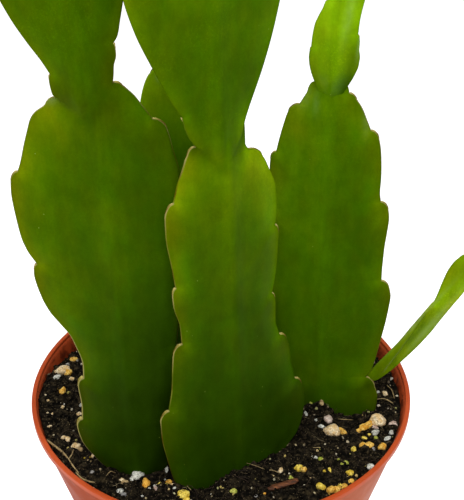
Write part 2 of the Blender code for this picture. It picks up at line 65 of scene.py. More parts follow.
# Camera
CAMERA_PLACE = (3.0, -219.0, 250.0)
CAMERA_TILT = 58.9
CAMERA_LENS = 72.0
CAMERA_SENSOR = 36.0
NEAREST_SEEN = 0.01

# Light: each lamp has a name, a place in metres, a size and a power
LAMPS_AIM_AT = (0.0, 0.0, 0.12)
WORLD_LIGHT = 0.32
FLOOR_GLOW = 0.7
FLOOR_REACH = 3000.0
LAMPS = [
    ("key", (-0.04, -0.3, 0.6), 0.55, 3.0),
    ("overhead", (0.04, 0.1, 0.62), 0.4, 0.9),
]

# Pot
POT_HEIGHT = 75.0
POT_SIDES = 240
RIM_RADIUS = 52.0
RIM_INNER_RADIUS = 50.7
LIP_HEIGHT = 2.0
LIP_OVERHANG = 0.9
WALL = 1.0
FLOOR = 1.2
WALL_STEPS = 11
WALL_STEP = 6.0
LIP_ROUND = 0.45
LIP_INNER_ROUND = 0.35
LIP_EDGE = ((0.25, 0.08), (0.04, 0.3))  # points of its lower edge: inwards from the rim, and up
LIP_INSIDE = ((0.0, 1.0), (0.3, 1.4))  # points of its inside: inwards from its hole, and down
CUTTER_MARGIN = 1.0
SHARP_EDGE = 35.0
PLASTIC_TINT = (255, 226, 204)
# Where the plastic's looks change, in metres: from the inside of the wall to its outside, at the
# lip's lower edge, and from the middle to the right side, which has a painted sheen
WALL_MIDDLE = (-0.0001, 0.0002)
LIP_STARTS = (0.0728, 0.0742)
PAINTED_SHEEN_SIDE = (0.0, 0.05)
BASE_RADIUS = 32.0
BASE_FILLET = 0.8
GROOVE_INNER = 15.0
GROOVE_OUTER = 25.0
GROOVE_DEPTH = 1.5
GROOVE_SLANT = 0.6
DRAIN_HOLES = 8
DRAIN_RADIUS = 3.0
DRAIN_SIDES = 40

# Soil
SOIL_FRONT = 71.4
SOIL_BACK = 68.4
SLOPE_LENGTH = 34.0
LUMP_HEIGHT = 0.7
LUMP_SIZE = 7.0
FINE_LUMP_HEIGHT = 0.35
FINE_LUMP_SIZE = 3.0
# Dips and mounds: (x, y, reach along x, reach along y, height)
SOIL_FORMS = [
    (-4.5, -34.5, 6.5, 5.0, -3.6),
    (-13.0, -39.5, 4.0, 4.0, 1.8),
    (27.0, -7.5, 3.0, 3.5, 3.4),
    (33.0, -8.5, 5.0, 3.0, -2.4),
    (-29.8, -33.5, 4.0, 3.0, 1.6),
    (-48.0, -6.0, 5.0, 15.0, 2.4),
    (-40.0, -26.0, 5.0, 8.0, 1.0),
]
CRUMB_RELIEF = ((1.7, 0.34), (0.8, 0.16))  # size and height of the crumbs in the soil's skin
SOIL_RING = 0.62
SOIL_SIDES = 288
SOIL_MARGIN = 0.12
SOIL_SKIRT = 4.0
SOIL_LIFT = 0.3

# Stems
BURIED = 22.0
FOOT_HALF_WIDTH = 4.5
FOOT_FULL_AT = 12.0
ROW_STEP = 0.55
BURIED_STEP = 2.2
NOTCH_ROWS = (0.03, 0.1, 0.22, 0.4)  # how far under a notch its extra rows of points lie
LEAST_ROW_GAP = NOTCH_ROWS[0] * 0.6
COLUMNS = 26
SHOULDER_ROUND = 0.85
RIB_HALF_WIDTH = 1.5
RIB_SWELL = 6.0
RIB_RIDGE_SHARE = 0.35
LEAST_SWELL = 0.1
WEB_REACH = 5.0
RIB_GROOVE = (3.0, 0.8, 0.05)  # distance from the midrib, half-width and depth
RIB_GROOVE_FROM = 2.0
FADE_PAST_TOP = 0.5
INNER_REACH = 3.0  # how far from the margin the veins and the dents are full
VEIN_RISE = 0.1
VEIN_ENDS = ((0.0, 0.5), (1.06, 0.9))  # the shares of its length over which each end fades
VEIN_DROP = 13.0
VEIN_WIDTH = 1.4
WAVE = 0.4
WAVE_SIZE = 19.0
DENT = 0.05
DENT_LAYERS = (7.0, 19.0)
DENT_SIZE = 6.5
TIP_THICKNESS = 0.35
FULL_THICKNESS_WIDTH = 7.8
BEND_HEIGHT = 100.0
JOIN_ROUND = 0.4
JOIN_REACH = 4.0
KEEL_POWER = 1.4
FOLD_ENDS = ((4.0, 4.0), (8.0, 8.0))
CREASE_ENDS = ((2.0, 5.0), (1.0, 5.0))
PAST_CREASE = 0.1
FOLD_EDGE = (-1.0, 1.5)
BACK_SHIFT = 0.6
OUTSIDE_FALL = 2.2
COLLAR_DROP = 0.3
COLLAR_EDGE = 2.0
LEAST_THICKNESS = 0.02
LEAST_WIDTH = 0.5
MIDDLE_CLEAR = 0.1  # how far inside the margins the grid's middle column stays
ROUNDING = 1e-6
BLEND_EDGE = (-0.3, 0.5)  # distances from an upper segment's margin over which its values take over
LEAST_TONE = 0.01
# Spots of the skin round a notch: how far they lie outwards and upwards of it, and their reaches
PALE_SPOT = (-1.0, 3.0, 4.0, 4.5)
PALE_CORNER = (-0.9, 0.0, 1.2, 1.6)
CORNER_STRENGTH = 1.7
OLIVE_SPOT = (0.5, -5.0, 3.2, 5.0)
OLIVE_UNDER_NOTCH = 0.27
CORKY_FROM = 8.0
CORKY_FULL = 1.5
CORKY_PAST = 0.3
LOW_LINE_BLEND = 8.0
LOWEST_AREOLE = 3.0
AREOLE_SIZE = 0.36
AREOLE_THIN_AT = 80.0
AREOLE_REACH = 2.8
# Shares of that size and reach: a young one's, what age adds and, for the size, what age adds low
# down on the segment
AREOLE_SHARES = (0.3, 0.3, 0.35)
AREOLE_REACH_SHARES = (0.25, 0.6)
AREOLE_SIZES = (0.8, 1.15)
AREOLE_REACHES = (0.7, 1.25)
AREOLE_RISE = 0.05
AREOLE_CROWDING = 1.4  # the power by which its points crowd towards the notch
AREOLE_TAPER = (0.8, 0.16, 0.6)  # power, share left at its lower end, and the first ring's share
AREOLE_STEPS = 9
AREOLE_SIDES = 10
WOOL_LUMPS = (2.2, 0.45)  # how many to a millimetre, and their height
WOOL_OFFSETS = 50.0
# The painted shadow that an upper segment casts beside it on the one under it: its reach, and where it starts
SHADOW_REACH = 2.4
SHADOW_STARTS = (-6.0, -2.0)  # heights on an upper segment
WAX_TINT = (225, 255, 0)
LINE_EDGE = (0.02, 0.2)
# Skin colours from the darkest to the palest. A level is twice the linear share of green.
GREEN_RAMP = [
    (0.0, (10, 20, 0)),
    (0.04, (22, 39, 0)),
    (0.08, (33, 57, 0)),
    (0.16, (48, 80, 0)),
    (0.24, (61, 98, 0)),
    (0.36, (79, 118, 1)),
    (0.5, (98, 137, 2)),
    (0.75, (121, 165, 4)),
    (1.0, (141, 188, 12)),
]
OLIVE_RAMP = [
    (0.0, (14, 19, 0)),
    (0.04, (31, 38, 0)),
    (0.08, (46, 55, 0)),
    (0.16, (67, 77, 0)),
    (0.24, (84, 94, 0)),
    (0.36, (105, 114, 2)),
    (0.5, (125, 133, 6)),
    (0.75, (154, 161, 14)),
    (1.0, (178, 184, 34)),
]

# The segments of the stems. left and right are its margins, each a list of lobes from the bottom
# up. A lobe is a list of (height along the segment, half-width) points, and its last point is the
# notch that ends it, where an areole sits. The other keys are these:
# foot, slope and bend: where the middle starts, how it moves for each mm of height, and how far
#     it has bent off that line at BEND_HEIGHT
# turn, twist and tilt: degrees round the upright, degrees more at BEND_HEIGHT, and degrees by
#     which the right margin hangs lower
# half_thickness: at the midrib, in the web and at the rim
# keel: how far the midrib stands forward of the margins
# step: how far the foot stands forward, and the height at which that ends
# fade: the stretch under the top over which it thins out inside the next segment
# folds: (from x, to x, depth, low, high) where the front is pushed back
# creases: (low end, high end, width, depth) of a furrow in the front
# age: how old the skin is, from 0 to 1
# tones: (height, lightness) points of painted light and shade, darker towards the soil
# lean: how much lighter it gets towards the left and the right margin, as painted light and shade
# glow: how much lighter the left and the right margin are, and over which distance, as painted light
# patches: (x, height, reach across, reach along, amount) of each painted light or shade spot
# the key after patches: the same for each spot of pale wax and painted sheen
# shadow: how dark the painted shadow is that this one casts on the segment under it, beside it
# olive and olive_lean: (height, amount) points of olive in the green, and how much more of it the
#     left half has
# line and low_line: how strong the corky line is on the left and the right margin, and the height
#     under which it is stronger, with how much
# bare: heights of notches with no areole
# PLAIN holds what a segment has where its own table doesn't say.
PLAIN = {
    "bend": (0.0, 0.0, 0.0),
    "turn": 0.0,
    "twist": 0.0,
    "tilt": 0.0,
    "keel": 0.0,
    "step": (0.0, 1.0),
    "fade": 0.0,
    "folds": (),
    "creases": (),
    "age": 0.0,
    "lean": (0.0, 0.0),
    "patches": (),
    "wax_and_sheen": (),
    "olive_lean": 0.0,
    "line": (0.0, 0.0),
    "low_line": (0.0, 0.0),
    "bare": (),
}
LEFT_LOWER = {
    **PLAIN,
    "foot": (-20.5, -30.0, 71.5),
    "slope": (-0.045, 0.02, 1.0),
    "turn": 2.0,
    "half_thickness": (2.3, 1.2, 0.5),
    "keel": 0.9,
    "fade": 7.0,
    "age": 1.0,
    "olive": ((0, 0.0), (30, -0.05), (60, 0.17), (90, 0.19)),
    "olive_lean": 0.17,
    "line": (0.9, 0.5),
    "low_line": (47.0, 1.7),
    "bare": (100,),
    "tones": (
        (-22, 0.05), (0, 0.06), (11, 0.05), (24, 0.058), (38, 0.09), (50, 0.12), (63, 0.15),
        (85, 0.158), (94, 0.165), (102, 0.135),
    ),
    "lean": (0.2, -0.2),
    "glow": (0.3, 0.15, 4.0),
    "patches": (
        (-7.5, 99, 5.0, 6, 0.56), (-2.6, 99, 3.0, 4, 0.2), (4.6, 102.4, 2.4, 3, 0.5),
        (14.4, 92, 2.2, 6, 0.2), (14.2, 78, 1.8, 5, 0.35), (10.5, 87, 3.0, 4, -0.1),
        (-8.6, 92, 4.0, 4, 0.13), (0.7, 81, 3.0, 6, 0.12), (7, 55, 4.0, 11, -0.12),
        (-6, 60, 3.0, 5, 0.1), (-2, 1, 6.0, 2.5, 0.25), (11.6, 29, 1.8, 6, 0.22),
        (-14, 82, 5.0, 11, 0.22), (-12.5, 47, 5.0, 9, 0.52), (-8.5, 32, 4.0, 13, 0.2),
        (1.6, 66, 4.0, 14, 0.2), (10, 98, 4.0, 4, 0.3), (0.5, 94, 5.0, 4, -0.12),
        (6, 38, 5.0, 14, -0.12), (0.3, 5, 6.0, 5, 0.35), (13.4, 79, 3.0, 6, 0.15),
        (3.6, 19, 2.6, 9, 0.2),
    ),
    "wax_and_sheen": ((-9.6, 100.3, 1.6, 1.2, 0.32),),
    "left": [
        [(-2, 6.4), (3, 10.2), (10, 13.6), (14.2, 14.1), (16.6, 12.6)],
        [(21, 12.2), (26.4, 12.4), (29, 10.8)],
        [
            (33, 10.5), (38.5, 11.6), (41.4, 12.5), (44.5, 14.3), (48, 16.3), (52, 17.6),
            (57.6, 18.4), (60.6, 17.3),
        ],
        [(61.6, 17.8), (64, 18.9), (67.5, 19.8), (72, 20.2), (77, 20.4), (80.6, 20.1), (83.4, 18.2)],
        [(85, 17.5), (89.5, 16.0), (92.8, 14.8), (95.1, 13.9), (96.6, 12.8), (98.2, 10.4), (100, 8.2)],
        [(102, 7.2), (105, 6.2)],
    ],
    "right": [
        [(-2, 5.2), (3, 8.5), (9, 11.4), (12, 11.9), (14.2, 10.4)],
        [(22, 11.4), (31, 13.4), (35, 13.9), (37.6, 12.2)],
        [(46, 13.6), (57, 16.2), (61.5, 16.7), (64, 15.2)],
        [(72, 16.2), (82.3, 16.1), (88, 15.1), (92.6, 14.2), (95, 11.4)],
        [(98.6, 9.1), (100.4, 7.9), (102.2, 5.9), (103.2, 4.0)],
        [(105, 3.4)],
    ],
}
LEFT_UPPER = {
    **PLAIN,
    "foot": (-27.3, -29.4, 167.5),
    "slope": (-0.11, 0.03, 1.0),
    "bend": (-3.0, 9.0, 0.0),
    "turn": 2.0,
    "twist": 7.0,
    "half_thickness": (1.9, 1.1, 0.45),
    "keel": 0.8,
    "age": 0.35,
    "olive": ((0, 0.28), (20, 0.2)),
    "olive_lean": 0.12,
    "line": (0.5, 0.9),
    "step": (0.6, 14.0),
    "shadow": 0.3,
    "folds": ((2.0, 5.0, 1.3, -4.0, 26.0),),
    "tones": ((0, 0.12), (6, 0.14), (12, 0.16), (20, 0.17), (30, 0.185), (105, 0.2)),
    "glow": (0.2, 0.0, 3.0),
    "patches": (
        (3.0, 13, 2.2, 8, 0.3), (7.4, 10, 2.2, 8, -0.25), (2.4, 5, 2.0, 3, 0.1),
        (4.2, 4.5, 2.0, 3.5, -0.2), (1.6, 19, 3.0, 7, -0.1), (0.2, 5, 2.0, 3, 0.13),
    ),
    "left": [
        [(0, 0.5), (3, 3.4), (5.4, 5.5), (7.4, 5.6), (9.3, 5.1)],
        [(11.8, 6.2), (15.9, 8.4), (20.5, 10.5), (27, 12.6), (36, 14.8), (46, 16.2), (50, 14.6)],
        [(60, 16.4), (71, 17.3), (75, 17.0), (77.4, 15.2)],
        [(84, 14.6), (91, 12.8), (94, 11.8), (96, 9.8)],
        [(99.5, 8.0), (103, 4.4), (104.6, 0.5)],
    ],
    "right": [
        [(0, 0.5), (3, 3.6), (6.5, 6.8), (8.7, 7.5), (10.7, 7.9), (12.8, 8.7), (14.2, 8.8), (15.2, 8.6)],
        [(16.6, 9.6), (19.5, 10.6), (25, 12.4), (32, 14.6), (37, 15.7), (39.8, 13.8)],
        [(50, 16.0), (61, 17.4), (64.6, 15.6)],
        [(73, 16.4), (82, 15.4), (85.2, 13.0)],
        [(91, 11.6), (96.5, 9.4), (98.6, 7.6)],
        [(101.4, 5.6), (103.6, 2.8), (104.6, 0.5)],
    ],
}
FRONT_LOWER = {
    **PLAIN,
    "foot": (4.5, -28.0, 71.5),
    "slope": (-0.035, 0.0, 1.0),
    "turn": 25.0,
    "half_thickness": (2.4, 1.25, 0.5),
    "keel": 0.5,
    "fade": 7.0,
    "age": 0.9,
    "olive": ((0, -0.02), (30, 0.05), (50, 0.16), (70, 0.24), (95, 0.22)),
    "line": (1.0, 0.15),
    "tones": (
        (-22, 0.062), (4, 0.088), (13, 0.08), (26, 0.088), (41, 0.112), (55, 0.158), (68, 0.185),
        (78, 0.232), (87, 0.22), (97, 0.17),
    ),
    "glow": (0.4, 0.4, 3.5),
    "patches": (
        (7.5, 84, 5.5, 8, 0.45), (-9.5, 80, 5.0, 7, 0.15), (4.8, 89, 4.0, 3, -0.17),
        (-5.8, 90.5, 3.0, 3, -0.34), (-1.7, 85.5, 3.0, 4, 0.68), (9.7, 74, 3.0, 7, 0.2),
        (12.4, 44, 1.8, 9, 0.5), (11.2, 32, 4.0, 6, 0.3), (-11, 36, 4.0, 7, 0.18),
        (-10.6, 49, 3.0, 6, -0.14), (-2.5, 7, 3.0, 2.5, -0.14), (1.8, 12, 4.0, 4, 0.2),
        (-14, 1, 5.0, 5, 0.4), (-17, 20, 3.0, 6, 0.2), (-1.8, 60, 1.6, 26, 0.08),
        (-13.6, 72, 2.0, 4, -0.14), (8.6, 54, 2.4, 6, -0.15), (9.6, 26, 2.6, 5, -0.12),
        (3, 34, 3.0, 6, 0.12), (3.5, 3, 4.0, 3, 0.14),
    ),
    "left": [
        [(-4, 14.0), (0, 17.3), (8, 18.8), (16, 19.7), (20.4, 19.7), (23.2, 17.4)],
        [(29, 16.2), (36, 15.5), (39, 15.1), (41.3, 12.8)],
        [(46, 12.9), (52, 14.1), (55, 14.2), (56.8, 13.3)],
        [(62.5, 13.9), (70, 14.7), (74.6, 14.6), (78, 12.5)],
        [(81.6, 11.4), (85.6, 9.7), (88.4, 8.5), (90, 6.8)],
        [(92.5, 6.2), (96, 4.6)],
    ],
    "right": [
        [(-4, 10.5), (1, 14.4), (4.5, 17.2), (9, 18.7), (13.5, 19.2), (18.6, 18.5), (21.7, 16.5)],
        [(27, 15.5), (31.8, 15.0), (34.4, 14.3), (36.6, 12.3)],
        [(41, 11.3), (46.4, 11.4), (48.9, 10.5)],
        [(55, 11.7), (61, 12.2), (65, 12.4), (67.1, 11.5)],
        [(71, 12.1), (76.5, 11.9), (82, 10.2), (84.8, 8.9), (87.0, 5.6)],
        [(88.4, 4.9), (92, 4.9), (94, 4.7), (96, 3.6)],
    ],
}
FRONT_UPPER = {
    **PLAIN,
    "foot": (0.2, -28.7, 156.5),
    "slope": (-0.04, -0.003, 1.0),
    "bend": (4.0, -6.0, 0.0),
    "turn": 25.0,
    "twist": -6.0,
    "half_thickness": (2.1, 1.15, 0.5),
    "keel": 0.3,
    "age": 0.3,
    "olive": ((0, 0.26), (14, 0.2), (40, 0.15)),
    "olive_lean": 0.12,
    "line": (0.05, 0.05),
    "step": (0.9, 14.0),
    "shadow": 0.42,
    "tones": ((0, 0.16), (6, 0.165), (12, 0.16), (20, 0.175), (30, 0.21), (112, 0.22)),
    "glow": (0.35, 0.35, 2.5),
    "patches": (
        (-6.0, 15, 3.0, 5, -0.15), (0.0, 5.5, 3.0, 3, 0.18), (-1.1, 30, 1.5, 16, 0.07),
        (4.6, 7.5, 1.8, 3.5, 0.2), (-13.6, 29, 2.4, 5, -0.2), (-6, 37, 5.0, 5, 0.12),
        (6.4, 15.5, 2.0, 3.5, -0.14), (8.6, 25, 2.0, 5, 0.1), (-3.4, 3.6, 1.6, 2.2, -0.3),
    ),
    "left": [
        [(1.0, 0.5), (3.6, 3.6), (6, 5.8), (9, 7.1), (12, 7.7)],
        [(15, 9.4), (23, 13.0), (31, 16.2), (38, 18.0), (42, 18.5), (44.8, 16.8)],
        [(54, 18.4), (64, 19.4), (67, 19.0), (69.4, 17.0)],
        [(78, 17.6), (86, 16.9), (89.6, 16.0), (92, 13.8)],
        [(98, 12.6), (104, 10.4), (106.8, 8.0)],
        [(109.6, 6.0), (111.6, 3.0), (112.4, 0.5)],
    ],
    "right": [
        [(1.0, 0.5), (3.6, 3.6), (6, 5.3), (9.3, 6.4)],
        [(13, 7.9), (21, 10.9), (29, 13.3), (38, 15.2), (50, 17.0), (54.4, 17.1), (57, 15.4)],
        [(67, 17.2), (75.6, 17.0), (79, 15.0)],
        [(87, 15.0), (94.6, 13.4), (98, 11.2)],
        [(103, 10.0), (107, 7.8), (108.8, 6.2)],
        [(110.6, 4.4), (111.9, 2.0), (112.4, 0.5)],
    ],
}
RIGHT_LOWER = {
    **PLAIN,
    "foot": (27.0, -4.5, 71.5),
    "slope": (-0.03, 0.0, 1.0),
    "turn": -12.0,
    "half_thickness": (2.2, 1.2, 0.5),
    "keel": 0.6,
    "fade": 7.0,
    "age": 0.75,
    "olive": ((0, 0.1), (95, 0.12)),
    "line": (0.4, 0.8),
    "tones": (
        (-22, 0.12), (2, 0.18), (9, 0.225), (23, 0.185), (35, 0.185), (50, 0.2), (77, 0.23), (87, 0.25),
    ),
    "lean": (0.4, -0.3),
    "glow": (0.0, 0.35, 3.5),
    "patches": (
        (-6.5, 60, 5.0, 30, 0.12), (0.2, 80, 2.5, 6, 0.2), (-1.4, 60, 2.0, 20, 0.16),
        (7, 60, 4.0, 26, -0.08), (13.2, 60, 2.5, 5, 0.12), (-6.5, 27, 5.0, 11, 0.25),
        (8.4, 9, 5.0, 7, 0.26), (6.0, 30, 5.0, 9, 0.1), (6.4, 7.6, 5.5, 1.8, -0.22),
        (1.8, 19, 3.0, 5, -0.13), (-7, 42, 2.5, 7, -0.12), (13, 78, 2.5, 6, -0.12),
        (13.8, 9, 3.0, 2.6, -0.4), (-4, 8, 3.5, 3, 0.15), (3, 38, 2.5, 12, -0.08),
    ),
    "wax_and_sheen": ((-5.2, 90.6, 1.6, 2.5, 0.14), (-1.8, 89, 0.9, 2.5, 0.06), (9.8, 86.6, 0.8, 4, 0.08)),
    "left": [
        [(-3, 9.5), (3, 12.5), (9, 14.3), (13, 14.6), (15.8, 12.9)],
        [(23, 13.6), (31, 15.6), (35, 15.8), (38.2, 14.0)],
        [(45, 13.6), (53, 14.4), (57, 14.2), (59.8, 12.4)],
        [(65, 12.4), (70, 13.1), (73.2, 12.9), (75.2, 11.5)],
        [(79, 10.6), (83, 9.5), (85.6, 8.6), (87.9, 5.9)],
        [(91, 4.1), (94, 2.0)],
    ],
    "right": [
        [(-3, 14.2), (1, 15.6), (5, 15.8), (8.2, 15.0), (11.3, 12.6)],
        [(14.2, 14.0), (22.4, 15.6), (30, 16.9), (34, 17.4), (37.5, 17.7), (40, 17.3), (42.2, 15.2)],
        [(45, 15.2), (48, 15.3), (52, 15.5), (56, 15.9), (60, 16.2), (62.6, 15.9), (64.6, 14.0)],
        [(67, 13.7), (71, 13.8), (76, 13.6), (80.8, 12.9), (82.9, 10.9)],
        [(85.6, 9.8), (88, 8.8), (90.2, 7.3), (91.6, 5.6)],
        [(94, 4.4)],
    ],
}
BACK = {
    **PLAIN,
    "foot": (-8.0, 12.0, 68.6),
    "slope": (0.0, 0.02, 1.0),
    "bend": (1.0, 3.0, 0.0),
    "turn": 10.0,
    "half_thickness": (2.2, 1.2, 0.5),
    "keel": 0.6,
    "age": 0.7,
    "olive": ((0, 0.0), (70, 0.04), (95, -0.05)),
    "line": (0.3, 0.3),
    "tones": ((-22, 0.1), (0, 0.12), (60, 0.2), (72, 0.25), (80, 0.36), (88, 0.42), (100, 0.42)),
    "lean": (0.2, -0.2),
    "glow": (0.3, 0.1, 2.5),
    "wax_and_sheen": ((-8.0, 91.0, 0.8, 1.2, 0.25),),
    "left": [
        [(-2, 8.5), (4, 11.2), (12, 13.0), (16, 13.1), (18.6, 11.5)],
        [(27, 12.6), (37, 14.4), (41, 14.3), (43.6, 12.6)],
        [(52, 13.6), (61, 14.8), (65, 14.6), (67.6, 12.8)],
        [(76, 13.4), (83.5, 12.9), (86.9, 12.3), (89.2, 11.6), (90.7, 10.9), (91.6, 10.2), (92.8, 8.2)],
        [(95, 6.6), (98.6, 3.2), (99.8, 0.5)],
    ],
    "right": [
        [(-2, 7.5), (5, 11.0), (12, 12.4), (26, 13.8), (29, 13.7), (31.4, 12.0)],
        [(40, 12.6), (50, 13.6), (54, 13.3), (56.4, 11.6)],
        [(64, 11.6), (74, 12.0), (78, 11.6), (80.2, 9.8)],
        [(85, 9.4), (90.6, 8.2), (93.2, 6.4)],
        [(96.4, 4.6), (98.9, 2.4), (99.8, 0.5)],
    ],
}
TOP_SHOOT = {
    **PLAIN,
    "foot": (25.1, -6.3, 160.0),
    "slope": (0.06, -0.02, 1.0),
    "bend": (15.0, -3.0, 0.0),
    "turn": -12.0,
    "half_thickness": (1.7, 1.0, 0.45),
    "keel": 0.7,
    "olive": ((0, 0.1), (20, 0.0)),
    "step": (-1.7, 9.0),
    "tones": ((0, 0.24), (4, 0.3), (9, 0.4), (16, 0.52), (23, 0.64), (55, 0.72)),
    "glow": (0.0, 0.0, 2.0),
    "patches": (
        (3.3, 5.0, 2.5, 4.8, -0.58), (3.8, 11, 1.4, 5.0, -0.3), (-2.6, 9, 1.8, 7.0, 0.15),
        (3.2, 15, 2.0, 7, -0.17), (-1.6, 4, 2.0, 3, 0.17),
    ),
    "wax_and_sheen": ((1.3, 23, 0.9, 5.5, 0.12), (4.8, 15.5, 0.4, 3.0, 0.2)),
    "left": [
        [(-1.3, 0.5), (1.6, 2.1), (5, 3.7), (8.3, 5.1), (10.2, 5.7), (12, 6.0), (13.2, 6.0), (13.9, 5.8)],
        [(16.5, 5.9), (19, 5.8), (21, 5.3), (23, 4.6), (24.6, 4.0)],
        [(28, 4.6), (34, 5.2), (36.8, 5.0), (38.4, 4.0)],
        [(42, 4.2), (46.6, 3.8), (48.2, 3.0)],
        [(51.4, 2.2), (54, 1.2), (55, 0.5)],
    ],
    "right": [
        [(-1.3, 0.5), (1.6, 2.1), (5, 3.7), (8.2, 4.9), (10.4, 5.4), (12, 5.4), (14, 4.9), (17.4, 4.1)],
        [(21, 3.9), (24, 4.0), (27, 4.3), (30.6, 4.9), (33, 4.1)],
        [(38, 4.6), (42.6, 4.4), (44.8, 3.3)],
        [(49, 3.0), (53, 1.7), (55, 0.5)],
    ],
}
SIDE_SHOOT = {
    **PLAIN,
    "foot": (39.8, -7.2, 81.6),
    "slope": (0.62, 0.0, 0.785),
    "bend": (-15.0, 0.0, 9.0),
    "tilt": 33.0,
    "half_thickness": (1.3, 0.9, 0.45),
    "olive": ((0, 0.38), (36, 0.34), (44, 0.12), (50, 0.1)),
    "creases": (((1.6, 4.0), (-2.2, 29.3), 0.6, 0.8),),
    "tones": ((0, 0.26), (8, 0.32), (20, 0.42), (45, 0.48), (66, 0.5)),
    "patches": (
        (-0.4, 14, 0.9, 12, -0.25), (-0.2, 33.7, 0.9, 1.6, -0.2), (1.4, 13.5, 1.4, 5, 0.3),
        (-1.2, 41, 2.8, 6, -0.16),
    ),
    "wax_and_sheen": ((1.3, 23, 1.4, 8, 0.15), (-2.4, 20, 0.5, 12, 0.2)),
    "glow": (0.0, 0.0, 2.0),
    "left": [
        [(0, 0.9), (1.5, 1.7), (6, 2.0), (14, 2.1), (20, 2.5), (26, 2.7), (28.4, 2.75), (29.3, 2.6)],
        [(31.5, 3.2), (34.2, 4.1), (36.9, 4.9), (39.2, 5.4), (41.1, 5.5), (43.2, 5.1), (44.8, 4.2)],
        [(49, 4.5), (54, 4.0), (56.4, 3.0)],
        [(62, 2.2), (66, 0.5)],
    ],
    "right": [
        [
            (0, 0.9), (1.5, 1.8), (6, 2.5), (11, 2.75), (16, 2.9), (21, 2.8), (26, 2.4), (31.4, 2.15),
            (36, 2.0),
        ],
        [(43, 3.0), (48, 3.4), (50, 2.8)],
        [(56, 3.0), (60, 2.3), (62, 1.7)],
        [(64, 1.2), (66, 0.5)],
    ],
}

